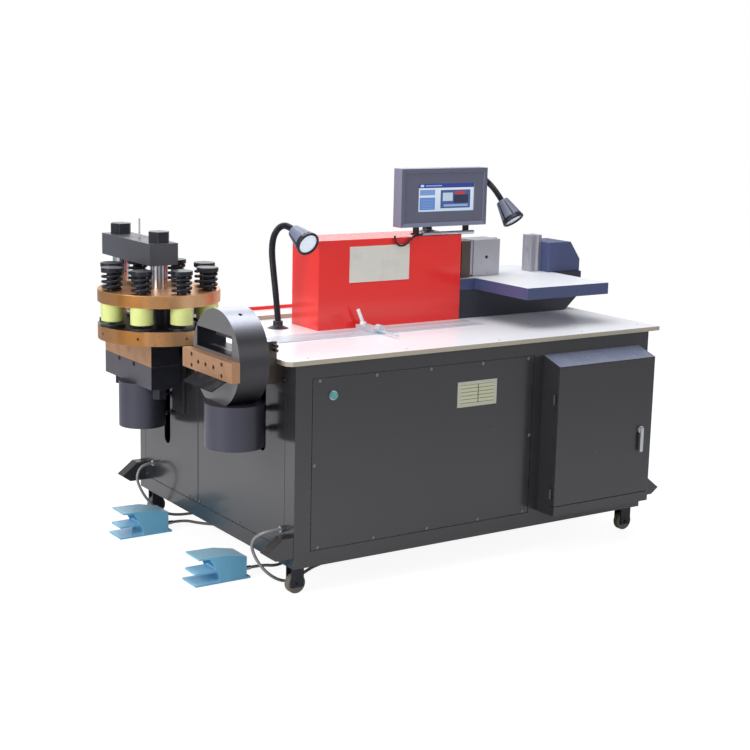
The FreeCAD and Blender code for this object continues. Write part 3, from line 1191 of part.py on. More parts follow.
def pedal(name, y):
    """A guarded foot switch: base with its roof, cheeks and switch block, and the treadle."""
    x = -S.pedal_x
    wall = S.foot_wall
    long = S.pedal_len
    wide = S.pedal_wide
    rise = S.pedal_rise
    base = box(x, y, ZERO, long, wide, S.foot_base)
    left = long - S.gland_len / 2 - S.block_len
    right = long - S.gland_len / 2
    drop = S.pedal_rise - S.block_rise
    bend = left + drop
    points = [(S.roof_tip, rise - S.roof_t), (left, rise - S.roof_t * 2), (left, ZERO),
              (right, ZERO), (right, S.block_rise), (bend, rise - S.roof_t / 2),
              (S.roof_tip, rise)]
    shell = plate_body("xz", points, wide, back=True)
    place(shell, x, y, ZERO)
    webs = []
    for web_y in (y, y + wide - wall):
        points = [(S.web_in, rise - S.roof_t - S.gap), (left - wall, S.foot_base * 3),
                  (left - wall, S.foot_base - S.gap), (left + wall, S.foot_base - S.gap),
                  (left + wall, rise - S.roof_t * 2)]
        web = plate_body("xz", points, wall, back=True)
        place(web, x, web_y, ZERO)
        webs.append(web)
    clear = S.tread_gap
    pin_r = S.hinge_pin_r
    hinge_x = x + left - pin_r - clear
    lugs = []
    for lug_y in (y + wall, y + wide - wall - clear + S.gap):
        lug = box(hinge_x - pin_r, lug_y, S.tread_z - S.tread_t - pin_r, pin_r * 2 + clear,
                  clear - S.gap, pin_r * 3)
        lugs.append(lug)
    pin = rod(hinge_x, y + wall, S.tread_z - S.tread_t / 2, pin_r - S.gap, wide - wall * 2, "y")
    tread_y = y + wall + clear
    tread_wide = wide - wall * 2 - clear * 2
    plate = box(x + wall, tread_y, S.tread_z - S.tread_t, hinge_x - x - wall, tread_wide,
                S.tread_t)
    eye = rod(hinge_x, tread_y, S.tread_z - S.tread_t / 2, pin_r + S.tread_t / 2 - S.gap,
              tread_wide, "y")
    bore = drill(hinge_x, tread_y, S.tread_z - S.tread_t / 2, pin_r, tread_wide, "y")
    node(f"{name}_treadle", cut(fuse(plate, eye), bore))
    return fuse(base, shell, pin, *webs, *lugs)


def cable_ends():
    """Glands on the pedals, and the outlets on the left panels where the cables go in."""
    made = []
    for y in (S.pedal_front_y, PEDAL_REAR_Y):
        x = -S.pedal_x + S.pedal_len - S.gland_len / 2
        made.append(fuse(rod(x, y + S.gland_y, S.gland_z, S.gland_r, S.gland_len / 2, "x"),
                         cone(x + S.gland_len / 2, y + S.gland_y, S.gland_z, S.gland_r,
                              S.cord_r * 1.3, S.gland_len / 2, "x")))
    for y in (S.outlet_front_y, OUTLET_REAR_Y):
        made.append(rod(-S.outlet_len, y, S.outlet_z, S.outlet_r, S.outlet_len, "x"))
    node("cable_glands", group(*made))


def cables():
    """Each pedal's cable, from its gland, under the cabinet, and up to its outlet."""
    gland = -S.pedal_x + S.pedal_len + S.gland_len / 2
    one_y = S.pedal_front_y + S.gland_y
    two_y = PEDAL_REAR_Y + S.gland_y
    lie = S.cord_r + S.gap
    front = [(gland, one_y, S.gland_z), (42, one_y, S.gland_z), (88, 274, 12),
             (138, 300, lie), (190, 338, lie), (245, 368, lie), (302, 372, lie),
             (346, 340, lie), (348, 286, lie), (306, 250, lie), (250, 236, lie),
             (196, 214, lie), (146, 182, lie), (98, 146, lie), (50, 118, 12), (2, 104, 30),
             (-38, 110, 62), (-64, 122, 102), (-80, 124, 144), (-84, 102, 178), (-74, 75, 200),
             (-49, S.outlet_front_y, S.outlet_z), (-S.outlet_len, S.outlet_front_y, S.outlet_z)]
    rear = [(gland, two_y, S.gland_z), (42, two_y, S.gland_z), (88, 822, 12), (138, 796, lie),
            (190, 764, lie), (246, 742, lie), (304, 748, lie), (344, 786, lie), (342, 840, lie),
            (304, 884, lie), (252, 916, lie), (196, 942, lie), (140, 958, lie), (86, 962, lie),
            (34, 956, 18), (-10, 948, 44), (-44, 948, 80), (-68, 956, 120), (-80, 966, 160),
            (-68, 972, 194), (-42, OUTLET_REAR_Y, S.outlet_z),
            (-S.outlet_len, OUTLET_REAR_Y, S.outlet_z)]
    for name, places in (("front_cable", front), ("rear_cable", rear)):
        spots = [point(x, y, z) for x, y, z in places]
        node(name, tube(spots, S.cord_r, name))


cabinet()
table()
length_stop()
start_button()
name_plates()
electrical_box()
bending_press()
screen()
lamps()
punch_station()
shear_station()
power_pack()
casters()
node("pedal_guards", group(pedal("front", S.pedal_front_y), pedal("rear", PEDAL_REAR_Y)))
cable_ends()
cables()

DOC.recompute()
failed = [thing.Name for thing in DOC.Objects if {"Invalid", "Error"} & set(thing.State)]
for name, thing in NODES.items():
    shape = thing.Shape
    if shape.isNull() or not shape.isValid() or not shape.Solids:
        failed.append(name)
if failed:
    raise RuntimeError("not built: " + ", ".join(failed))
os.makedirs("parts", exist_ok=True)
for name, thing in NODES.items():
    thing.Shape.exportStep(f"parts/{name}.step")
print(len(NODES), "nodes written")
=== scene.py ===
import json
import math

import bmesh
import bpy
from mathutils import Matrix, Vector

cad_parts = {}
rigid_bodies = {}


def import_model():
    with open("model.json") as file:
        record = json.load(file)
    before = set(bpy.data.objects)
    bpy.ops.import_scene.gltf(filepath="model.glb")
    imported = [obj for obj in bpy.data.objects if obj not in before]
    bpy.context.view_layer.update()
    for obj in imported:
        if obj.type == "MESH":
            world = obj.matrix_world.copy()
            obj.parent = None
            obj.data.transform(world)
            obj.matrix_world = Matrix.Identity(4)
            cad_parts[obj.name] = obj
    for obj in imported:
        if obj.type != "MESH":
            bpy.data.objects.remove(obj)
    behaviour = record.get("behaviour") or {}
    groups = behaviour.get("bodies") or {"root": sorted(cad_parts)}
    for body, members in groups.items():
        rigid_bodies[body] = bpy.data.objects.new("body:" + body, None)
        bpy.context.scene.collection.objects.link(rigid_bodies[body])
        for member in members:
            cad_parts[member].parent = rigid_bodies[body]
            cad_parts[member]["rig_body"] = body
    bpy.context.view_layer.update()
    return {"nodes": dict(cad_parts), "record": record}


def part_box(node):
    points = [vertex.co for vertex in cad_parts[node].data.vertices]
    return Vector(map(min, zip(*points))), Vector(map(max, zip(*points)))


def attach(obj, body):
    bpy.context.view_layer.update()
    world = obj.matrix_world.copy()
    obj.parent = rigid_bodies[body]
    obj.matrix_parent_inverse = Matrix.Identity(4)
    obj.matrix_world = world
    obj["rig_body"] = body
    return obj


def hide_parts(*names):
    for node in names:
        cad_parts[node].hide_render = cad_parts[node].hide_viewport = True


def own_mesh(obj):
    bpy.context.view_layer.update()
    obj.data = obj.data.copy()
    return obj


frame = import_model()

bl_info = {
    "name": "Busbar machine",
    "version": (1, 0, 0),
    "blender": (4, 5, 0),
    "location": "3D View > Sidebar > Machine",
    "description": "Finishes and small parts of a busbar machine",
    "category": "Add Mesh",
}

BODY_OF = {name: thing["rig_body"] for name, thing in frame["nodes"].items()}
SLOT_OF = {part["node"]: part["material_slot"] for part in frame["record"]["subparts"]}
CORNER = Vector((-0.612, -0.505, 0))  # the cabinet's front left foot in the shared frame

# Rounding of edges, in metres, where it isn't the edge setting
PRINTED = 0.0003
SHEET = 0.0008
MILLED = 0.0010
MOULDED = 0.0014
HEAVY = 0.0016
CAST = 0.0018

# Screw heads in radii: height, reach of the top, depth of the recess, and a socket's reach
DOMED = (0.34, 0.8, 0.12)
COUNTERSUNK = (0.10, 0.85, 0.06, 0.5)
SHALLOW_CAP = (0.3, 0.85, 0.2, 0.5)
CAP = (0.7, 0.88, 0.4, 0.5)

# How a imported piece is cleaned, and how its rounding is judged
WELD = 1e-5  # distance within which vertices are one
FLAT = math.radians(0.6)  # angle within which faces are one
SHARP = math.radians(32)  # angle past which an edge is rounded, or shaded as an edge
VOLUME_SLACK = 0.04  # share of the volume that rounding may move
AREA_SLACK = 2e-4  # share of the area that the triangles may miss

# Paths in millimetres from the corner; a cable's middle lies at LOW when it is on the floor
LOW = 5.3
CABLES = {
    "front_cable": (1.115, (
        (-5, 262, 26), (42, 262, 26), (88, 274, 12), (138, 300, LOW), (190, 338, LOW),
        (245, 368, LOW), (302, 372, LOW), (346, 340, LOW), (348, 286, LOW), (306, 250, LOW),
        (250, 236, LOW), (196, 214, LOW), (146, 182, LOW), (98, 146, LOW), (50, 118, 12),
        (2, 104, 30), (-38, 110, 62), (-64, 122, 102), (-80, 124, 144), (-84, 102, 178),
        (-74, 75, 200), (-49, 58, 210), (-16, 58, 210))),
    "rear_cable": (1.060, (
        (-5, 832, 26), (42, 832, 26), (88, 822, 12), (138, 796, LOW), (190, 764, LOW),
        (246, 742, LOW), (304, 748, LOW), (344, 786, LOW), (342, 840, LOW), (304, 884, LOW),
        (252, 916, LOW), (196, 942, LOW), (140, 958, LOW), (86, 962, LOW), (34, 956, 18),
        (-10, 948, 44), (-44, 948, 80), (-68, 956, 120), (-80, 966, 160), (-68, 972, 194),
        (-42, 972, 210), (-16, 972, 210)))}
NECK_ROUTES = {
    "left": ((252, 547, 771), (242, 541, 841), (222, 527, 936), (203, 509, 1015),
             (199, 490, 1069), (214, 471, 1101), (229, 443, 1102), (232, 410, 1087)),
    "right": ((870, 560, 1073), (880, 557, 1135), (908, 552, 1197), (958, 544, 1239),
              (1020, 534, 1255), (1078, 526, 1243), (1122, 522, 1211), (1141, 502, 1177),
              (1147, 486, 1155))}


def spot(x, y, z):
    """A place in the shared frame, from millimetres right, back and up of the corner."""
    return CORNER + Vector((x, y, z)) / 1000


def linear(value):
    """A display value from 0 to 255 as an amount of light."""
    value /= 255
    return value / 12.92 if value <= 0.04045 else ((value + 0.055) / 1.055) ** 2.4


def tone(*display):
    """A colour picked on a display, as the light values that a finish works in."""
    return tuple(linear(value) for value in display)


def colour(name, text, *display):
    return bpy.props.FloatVectorProperty(name=name, description=text, subtype="COLOR", size=3,
                                         min=0, max=1, default=tone(*display))


def length(name, text, default):
    return bpy.props.FloatProperty(name=name, description=text, default=default, min=0,
                                   subtype="DISTANCE", unit="LENGTH")


class FinishColours(bpy.types.PropertyGroup):
    """Colours of the machine's paints, metals and plastics."""

    cabinet: colour("Cabinet", "Gloss paint of the cabinet", 50, 50, 53)
    # The roof colour is a painted highlight: the sloping roof is drawn lighter and bluer, as the
    # light from above falls on it.
    roof: colour("Box roof", "Lighter sheen of the box's sloping roof", 118, 126, 150)
    red: colour("Housing", "Gloss paint of the ram housing and the fence", 244, 40, 33)
    blue: colour("Bending press", "Paint of the bending press's table", 72, 82, 122)
    bronze: colour("Discs", "Bronze of the turret discs", 204, 150, 100)
    block: colour("Tool blocks", "Ground bronze of the tool blocks", 186, 142, 108)
    urethane: colour("Stripper rings", "Urethane of the stripper rings", 222, 232, 148)
    drum: colour("Shear drum", "Machined steel of the shear's round housing", 128, 127, 128)
    jack: colour("Cylinders", "Paint of the hydraulic cylinders", 58, 58, 74)
    beam: colour("Press beam", "Paint of the turret's press beam", 70, 72, 80)
    bolster: colour("Bolster", "Bare cast steel under the turret", 112, 110, 118)
    ram: colour("Ram plates", "Brown oiled steel of the ram's plates", 96, 88, 82)
    # This colour is partly the frame's own dark paint and partly painted shade: it is darkened for
    # the shade under the table.
    frame: colour("Press frame", "Dark paint of the bending press's frame", 42, 45, 58)
    tray: colour("Tray", "Paint of the offcut tray", 14, 19, 28)
    steel: colour("Steel", "Ground steel of the punch and the die", 186, 186, 193)
    strip: colour("Scale strip", "Pale satin steel of the length scale", 206, 213, 222)
    dark_steel: colour("Blackened steel", "Springs, punches and nuts", 36, 38, 46)
    laminate: colour("Table", "Laminate of the work tables", 243, 245, 250)
    edge_band: colour("Table edge", "Bare edge of the table board", 186, 178, 158)
    pedal: colour("Pedals", "Enamel of the foot pedals", 120, 194, 230)
    button: colour("Button", "Lit push button", 74, 142, 142)
    pin: colour("Gauge pin", "Dull pale steel of the gauge pin", 186, 186, 190)
    case: colour("Screen case", "Plastic of the operator's screen", 128, 132, 154)
    bezel: colour("Screen bezel", "Darker frame round the screen", 98, 101, 120)
    lamp: colour("Lamp heads", "Paint of the lamp heads", 112, 118, 140)
    tread: colour("Wheels", "Nylon of the caster wheels", 116, 109, 99)
    cable: colour("Cables", "Sheath of the pedal cables", 150, 150, 148)


class PartSizes(bpy.types.PropertyGroup):
    """Sizes of the details that the looks add to the machine."""

    edge: length("Edge rounding", "Rounding of edges that have no size of their own", 0.0012)
    rib_pitch: length("Neck rib pitch", "Pitch of the ribs on the lamps' necks", 0.0046)
    rib: length("Neck rib", "Thickness of a neck's rib", 0.0017)
    tick_pitch: length("Scale pitch", "Pitch of the marks on the length scale", 0.010)
    pin: length("Table screw", "Radius of the table's countersunk screws", 0.0042)
    stroke: length("Punch stroke", "Stroke that squashes the spring under the press", 0.025)
    cord: length("Cable", "Diameter of the pedal cables", 0.010)


# Node trees for finishes and for repeated parts
def sum_method(kind, swapped=False):
    """A method that adds the node for one kind of sum."""
    def method(self, *other):
        values = (*other, self) if swapped else (self, *other)
        return self.tree.node("Math", *values, operation=kind)
    return method


class Signal:
    """A socket in a tree; sums on it add the nodes that work them out."""

    def __init__(self, tree, socket):
        self.tree = tree
        self.socket = socket

    __add__ = sum_method("ADD")
    __sub__ = sum_method("SUBTRACT")
    __rsub__ = sum_method("SUBTRACT", swapped=True)
    __mul__ = sum_method("MULTIPLY")
    __truediv__ = sum_method("DIVIDE")
    __pow__ = sum_method("POWER")
    __gt__ = sum_method("GREATER_THAN")
    __lt__ = sum_method("LESS_THAN")
    __mod__ = sum_method("FLOORED_MODULO")
    __abs__ = sum_method("ABSOLUTE")


class Tree:
    """A node tree with one way to add a node."""

    def __init__(self, tree):
        self.tree = tree

    def node(self, kind, *values, out=0, at=None, **settings):
        """A node of that kind, which is a shader's where its name doesn't say Node."""
        made = self.tree.nodes.new(kind if "Node" in kind else "ShaderNode" + kind)
        for key, value in settings.items():
            setattr(made, key, value)
        for place, value in {**dict(enumerate(values)), **(at or {})}.items():
            self.feed(made.inputs[place], value)
        return Signal(self, made.outputs[out])

    def feed(self, socket, value):
        if isinstance(value, Signal):
            self.tree.links.new(value.socket, socket)
        else:
            if hasattr(value, "__len__") and len(socket.default_value) > len(value):
                value = (*value, 1)
            socket.default_value = value

    def end(self, kind, signal):
        """Adds the tree's output node and feeds it."""
        self.feed(self.tree.nodes.new(kind).inputs[0], signal)


SHADER_SOCKETS = {
    "base": "Base Color", "rough": "Roughness", "metal": "Metallic", "normal": "Normal",
    "coat": "Coat Weight", "coat_rough": "Coat Roughness", "gloss": "Specular IOR Level",
    "glow": "Emission Color", "glow_power": "Emission Strength",
    "scatter": "Subsurface Weight", "reach": "Subsurface Scale"}


class Finish(Tree):
    """A paint, metal or plastic, made of nodes on the piece's own coordinates."""

    def __init__(self, name):
        self.material = bpy.data.materials.new(name)
        self.material.use_nodes = True
        super().__init__(self.material.node_tree)
        self.tree.nodes.clear()
        self.shader = self.tree.nodes.new("ShaderNodeBsdfPrincipled")
        self.output = self.tree.nodes.new("ShaderNodeOutputMaterial")
        self.tree.links.new(self.shader.outputs[0], self.output.inputs[0])
        self.place = self.node("TexCoord", out="Object")
        self.facing = self.node("TexCoord", out="Normal")

    def axes(self, vector):
        return [self.node("SeparateXYZ", vector, out=i) for i in range(3)]

    def stretched(self, scale):
        return self.node("Mapping", self.place, at={"Scale": scale})

    def noise(self, size, detail=3.0, rough=0.55, scale=(1, 1, 1)):
        """Cloudy values about a half, with lumps of the size given in metres."""
        return self.node("TexNoise", at={"Vector": self.stretched(scale), "Scale": 1 / size,
                                         "Detail": detail, "Roughness": rough})

    def rings(self, place, per_metre, rough=0.5):
        """Lines across one direction, as a lathe leaves them."""
        return self.node("TexNoise", noise_dimensions="1D",
                         at={"W": place, "Scale": per_metre, "Detail": 2.0, "Roughness": rough})

    def cells(self, size):
        return self.node("TexVoronoi", at={"Vector": self.stretched((1, 1, 1)), "Scale": 1 / size})

    def step(self, value, low, high):
        return self.node("MapRange", value, low, high, interpolation_type="SMOOTHSTEP")

    def upward(self, low, high):
        """How far a face looks up, from none at one slope to one at the other."""
        return self.step(self.axes(self.facing)[2], low, high)

    def spread(self, value, low, high):
        """A value from 0 to 1 spread between two numbers."""
        return value * (high - low) + low

    def shares(self, low, high):
        """How far across and up an upright plate is, from its lower to its upper corner."""
        across, _, up = self.axes(self.place)
        return (across - low[0]) / (high[0] - low[0]), (up - low[1]) / (high[1] - low[1])

    def mix(self, share, one, two):
        """Two colours mixed; the node's colour sockets have only numbers to tell them."""
        return self.node("Mix", share, at={6: one, 7: two}, out=2, data_type="RGBA")

    def varied(self, share, name, low, high):
        """A colour of the settings between two strengths."""
        return self.mix(share, shade(name, low), shade(name, high))

    def coats(self, base, *layers):
        """Lays each layer's colour over a base by the layer's share."""
        for share, paint in layers:
            base = self.mix(share, base, paint)
        return base

    def rim(self):
        """One on rounded edges, and zero elsewhere."""
        return self.node("Attribute", attribute_name="rim", out=2)

    def set(self, spread=None, bump=None, **values):
        """Feeds the shader; the roughness may be a spread value, and a bump has a height, a
        strength and a depth."""
        if spread:
            values["rough"] = self.spread(*spread)
        if bump:
            values["normal"] = self.node("Bump", at=dict(zip(
                ("Height", "Strength", "Distance"), bump)))
        for key, value in values.items():
            self.feed(self.shader.inputs[SHADER_SOCKETS[key]], value)
        return self.material


FINISHES = {}


def finish(make):
    """Keeps one material for each finish, made the first time that it is asked for."""
    def give(*options):
        key = (make.__name__, *options)
        if key not in FINISHES:
            FINISHES[key] = make(Finish("_".join(str(word) for word in key)), *options)
        return FINISHES[key]
    return give


def shades():
    return bpy.context.scene.machine_colours


def sizes():
    return bpy.context.scene.machine_sizes


def shade(name, share=1.0):
    return tuple(value * share for value in getattr(shades(), name))


def distance(one, two):
    return (one * one + two * two) ** 0.5


SHEENS = {"gloss": (0.20, 0.30, 0.5), "satin": (0.34, 0.46, 0.15), "flat": (0.5, 0.62, 0.0)}


@finish
def gloss_paint(look, name, sheen="gloss"):
    """Sprayed paint with orange peel, dust on top, and wear where edges are rubbed."""
    low, high, coat = SHEENS[sheen]
    worn = look.rim() * look.step(look.noise(0.012, 5), 0.5, 0.72)
    dust = look.upward(0.6, 1.0) * look.step(look.noise(0.05), 0.4, 0.8)
    bare = shade(name, 1.9) if sum(shade(name)) < 0.9 else tone(120, 110, 105)
    base = look.coats(look.varied(look.noise(0.35, 4), name, 0.92, 1.08),
                      (dust * 0.10, tone(176, 172, 166)), (worn * 0.55, bare))
    if name == "jack":
        # Painted shade: the cylinders' faces turned to the right, away from the light, are drawn
        # darker.
        darkened = look.step(look.axes(look.facing)[0], -0.42, 0.38)
        base = look.coats(base, (darkened * 0.8, shade(name, 0.22)))
    rough = look.spread(look.noise(0.08, 4), low, high) + dust * 0.15 + worn * 0.1
    return look.set(base=base, rough=rough, gloss=0.15 if name == "tray" else 0.5, coat=coat,
                    coat_rough=0.12, bump=(look.noise(0.0035, 2), 0.10, 0.0006))


@finish
def ground_steel(look, name, along="z", metal=0.85):
    """Steel with fine grinding lines along one way and dark handling marks."""
    lines = look.noise(0.0011, 2, 0.7, tuple(0.02 if axis == along else 1 for axis in "xyz"))
    stain = look.step(look.noise(0.03, 5), 0.58, 0.75)
    base = look.coats(look.varied(lines, name, 0.80, 1.14), (stain * 0.35, shade(name, 0.55)),
                      (look.rim() * 0.5, shade(name, 1.5)))
    rough = look.spread(look.noise(0.06, 4), 0.30, 0.46) + lines * 0.08
    return look.set(base=base, metal=metal, rough=rough, bump=(lines, 0.12, 0.0003))


@finish
def bronze(look, x, y):
    """Turned bronze: rings round the disc's centre, a warm tarnish, and bright rims."""
    across, back, up = look.axes(look.place)
    right, rear, above = look.axes(look.facing)
    flat = look.step(abs(above), 0.5, 0.9)
    rings = look.rings(distance(across - x, back - y) * flat + up * (1 - flat), 900.0, 0.6)
    bands = look.step(look.noise(0.16, 2, 0.4, (1, 1, 0.02)), 0.40, 0.60)
    lit = look.step(right * 0.35 - rear * 0.94, 0.70, 1.0)
    shadow = look.step(0 - right * 0.80 - rear * 0.60, 0.955, 0.985)
    tarnish = look.noise(0.05, 5)
    spots = look.step(look.noise(0.011, 4), 0.60, 0.74)
    base = look.mix(bands, shade("bronze", 0.72), look.varied(rings, "bronze", 0.88, 1.10))
    base = look.coats(base, (lit * 0.45, tone(240, 202, 158)), (shadow * 0.75, tone(150, 98, 34)),
                      (look.step(tarnish, 0.46, 0.72) * 0.35, shade("bronze", 0.62)),
                      (spots * 0.35, tone(96, 62, 38)), (look.rim() * 0.6, shade("bronze", 1.5)))
    return look.set(base=base, metal=0.75, spread=(tarnish, 0.30, 0.48), bump=(rings, 0.15, 0.0003))


@finish
def block_bronze(look):
    """Milled bronze blocks, with fly cutter marks and oil stains."""
    lines = look.noise(0.0016, 2, 0.7, (1, 0.03, 1))
    stain = look.noise(0.045, 5)
    base = look.coats(look.varied(lines, "block", 0.88, 1.10),
                      (look.step(stain, 0.5, 0.72) * 0.5, shade("block", 0.60)),
                      (look.rim() * 0.6, shade("block", 1.35)))
    return look.set(base=base, metal=0.55, spread=(stain, 0.36, 0.52), bump=(lines, 0.12, 0.0003))


@finish
def chrome(look):
    """Hard chrome with faint polishing lines and finger marks."""
    lines = look.noise(0.0012, 2, 0.6, (1, 1, 0.03))
    marks = look.step(look.noise(0.02, 4), 0.52, 0.70)
    base = look.mix(marks * 0.5, tone(206, 208, 214), tone(170, 170, 178))
    return look.set(base=base, metal=1.0, rough=look.spread(lines, 0.16, 0.28) + marks * 0.10,
                    bump=(lines, 0.05, 0.0002))


@finish
def black_steel(look):
    """Blackened steel, oily, and rubbed to grey on its edges."""
    cloud = look.noise(0.02, 4)
    worn = look.rim() * look.step(look.noise(0.008, 4), 0.35, 0.6)
    base = look.coats(look.varied(cloud, "dark_steel", 0.75, 1.35),
                      (worn * 0.6, tone(122, 124, 134)))
    return look.set(base=base, metal=0.35, spread=(cloud, 0.24, 0.42),
                    bump=(look.noise(0.002, 3), 0.08, 0.0003))


@finish
def urethane(look):
    """Cast urethane: waxy, with cloudy depth and scuffed rims."""
    cloud = look.noise(0.03, 4)
    scuff = look.step(look.noise(0.006, 4), 0.55, 0.75)
    base = look.coats(look.varied(cloud, "urethane", 0.90, 1.05),
                      (scuff * 0.18 + look.rim() * 0.2, tone(236, 238, 190)))
    return look.set(base=base, spread=(cloud, 0.28, 0.44), coat=0.15, scatter=0.25, reach=0.01,
                    bump=(look.noise(0.004, 3), 0.06, 0.0004))


@finish
def laminate(look, side="edge_band"):
    """A white laminate board: faint speckle above, and its sides another colour."""
    speckle = look.noise(0.0016, 2)
    smear = look.step(look.noise(0.20, 5), 0.52, 0.74)
    top = look.coats(look.varied(speckle, "laminate", 0.985, 1.0),
                     (smear * 0.10, tone(206, 206, 208)))
    sides = look.varied(look.noise(0.004, 4, 0.6, (0.2, 0.2, 1)), side, 0.88, 1.08)
    return look.set(base=look.mix(look.upward(0.80, 0.95), sides, top), coat=0.2, coat_rough=0.2,
                    spread=(look.noise(0.05, 4), 0.30, 0.42), bump=(speckle, 0.04, 0.0002))


@finish
def deck_paint(look, height):
    """The white rear deck with its red fence above the given height."""
    white = look.mix(look.upward(0.80, 0.95), shade("edge_band"), shade("laminate"))
    red = look.varied(look.noise(0.1), "red", 0.9, 1.05)
    base = look.mix(look.axes(look.place)[2] > height, white, red)
    return look.set(base=base, coat=0.3, coat_rough=0.15, spread=(look.noise(0.05), 0.26, 0.40),
                    bump=(look.noise(0.0035, 2), 0.08, 0.0005))


@finish
def drum_steel(look, y, z):
    """The shear's drum: a faced front with turning rings; the shell darker, with painted highlight
    on top and painted shade below.
    """
    across, back, up = look.axes(look.place)
    right, _, above = look.axes(look.facing)
    face = look.step(0 - right, 0.7, 0.95)
    shell = 1 - face
    rings = look.rings(distance(back - y, up - z) * face + across * shell, 700.0)
    cloud = look.noise(0.07, 4)
    # Painted highlight: the shell's upward faces are drawn pale, as the light from above falls on
    # them.
    painted_light_top = look.step(above, 0.45, 0.95) * shell
    # Painted shade: the shell's downward faces are drawn near black.
    under = look.step(0 - above, 0.0, 0.9) * shell
    base = look.coats(look.varied(rings, "drum", 0.82, 1.12), (shell * 0.8, tone(46, 45, 51)),
                      (under * 0.7, tone(18, 18, 20)), (painted_light_top * 0.8, tone(186, 190, 204)),
                      (look.step(cloud, 0.5, 0.7) * 0.25, tone(70, 70, 78)),
                      (look.rim() * 0.5, tone(190, 192, 200)))
    return look.set(base=base, metal=0.6, spread=(cloud, 0.30, 0.42), bump=(rings, 0.10, 0.0003))


@finish
def plastic(look, name):
    """Moulded plastic with a fine spark texture."""
    cloud = look.noise(0.08)
    base = look.coats(look.varied(cloud, name, 0.94, 1.06), (look.rim() * 0.25, shade(name, 1.4)))
    return look.set(base=base, spread=(cloud, 0.40, 0.55), bump=(look.cells(0.0012), 0.08, 0.0002))


@finish
def enamel(look, name):
    """Hammered enamel on the pedals, chipped at the edges."""
    cloud = look.noise(0.05, 4)
    chips = look.rim() * look.step(look.noise(0.006, 4), 0.50, 0.66)
    # Painted highlight: the pedals' upward faces are drawn paler, as the light from above falls on
    # them; the scuffs lie on these faces too.
    painted_light_top = look.upward(0.3, 0.95)
    scuffs = painted_light_top * look.step(look.noise(0.012, 5), 0.5, 0.8)
    base = look.coats(look.varied(cloud, name, 0.88, 1.10), (painted_light_top * 0.7, tone(190, 232, 250)),
                      (scuffs * 0.25, shade(name, 1.8)), (chips * 0.7, tone(60, 66, 74)))
    return look.set(base=base, spread=(cloud, 0.26, 0.38), coat=0.4, coat_rough=0.12,
                    bump=(look.cells(0.006), 0.14, 0.0006))


@finish
def plate_metal(look, low, high, name):
    """A blank plate: ruled lines in a frame on satin aluminium, or plain cream card."""
    fine = look.noise(0.0012, 2, 0.6, (0.05, 1, 1))
    if name == "label":
        stain = look.step(look.noise(0.05, 4), 0.5, 0.75)
        base = look.coats(look.mix(fine, tone(222, 220, 208), tone(236, 234, 224)),
                          (stain * 0.2, tone(176, 172, 156)))
        return look.set(base=base, metal=0.2, spread=(fine, 0.38, 0.5))
    one, two = look.shares(low, high)
    side, end = 0.08, 0.128
    inside = (one > side) * (one < 1 - side) * (two > end) * (two < 1 - end)
    rows = ((two * 7) % 1) < 0.16
    column = abs(one - 0.52) < 0.012
    ruled = look.step(inside * (rows + column), 0.4, 0.6)
    base = look.coats(look.mix(fine, tone(190, 190, 172), tone(214, 214, 198)),
                      (inside * 0.35, tone(226, 226, 170)), (ruled * 0.8, tone(42, 44, 42)))
    return look.set(base=base, metal=0.5, spread=(fine, 0.3, 0.44))


@finish
def screen_picture(look, low, high):
    """The lit screen: a heading bar, blocks of colour and ruled rows, with no words."""
    one, two = look.shares(low, high)

    def area(left, bottom, right, top):
        return (one > left) * (one < right) * (two > bottom) * (two < top)

    picture = look.mix(two, tone(206, 226, 248), tone(236, 244, 252))
    for place, paint in (
            ((0.0, 0.84, 1.0, 1.0), (44, 62, 150)),
            ((0.04, 0.88, 0.10, 0.96), (206, 226, 248)),
            ((0.13, 0.90, 0.42, 0.94), (150, 180, 232)),
            ((0.03, 0.06, 0.30, 0.50), (84, 130, 204)),
            ((0.03, 0.58, 0.30, 0.78), (120, 160, 222)),
            ((0.40, 0.10, 0.94, 0.76), (66, 92, 150)),
            ((0.44, 0.36, 0.62, 0.66), (198, 214, 236)),
            ((0.64, 0.28, 0.90, 0.58), (38, 46, 74)),
            ((0.66, 0.60, 0.84, 0.70), (206, 52, 48)),
            ((0.46, 0.16, 0.90, 0.24), (150, 176, 220))):
        picture = look.mix(area(*place), picture, tone(*paint))
    rows = (((two * 18) % 1) < 0.3) * area(0.05, 0.10, 0.28, 0.46)
    picture = look.mix(rows * 0.5, picture, tone(190, 212, 246))
    return look.set(base=tone(14, 16, 22), rough=0.12, glow=picture, glow_power=0.85, coat=0.6)


@finish
def lit_plastic(look, name):
    """The lit button: a cloudy plastic that glows in its own colour."""
    cloud = look.noise(0.006)
    base = look.varied(cloud, name, 0.8, 1.1)
    return look.set(base=base, spread=(cloud, 0.2, 0.3), glow=base, glow_power=0.35, coat=0.5)


@finish
def cable_sheath(look):
    """Grey cable sheath, finely rough and unevenly worn."""
    cloud = look.noise(0.03, 4)
    return look.set(base=look.varied(cloud, "cable", 0.8, 1.15), metal=0.25,
                    spread=(cloud, 0.30, 0.46), bump=(look.noise(0.0022, 2), 0.15, 0.0005))


@finish
def lens(look):
    """The lamps' glass: pale, ribbed and softly lit."""
    cloud = look.noise(0.01)
    base = look.mix(cloud, tone(206, 220, 238), tone(236, 242, 250))
    return look.set(base=base, spread=(cloud, 0.06, 0.14), coat=0.8, glow=base, glow_power=0.25,
                    bump=(look.cells(0.006), 0.2, 0.0008))


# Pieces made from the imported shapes
def placed(name, data):
    """A new object in the scene."""
    made = bpy.data.objects.new(name, data)
    bpy.context.scene.collection.objects.link(made)
    return made


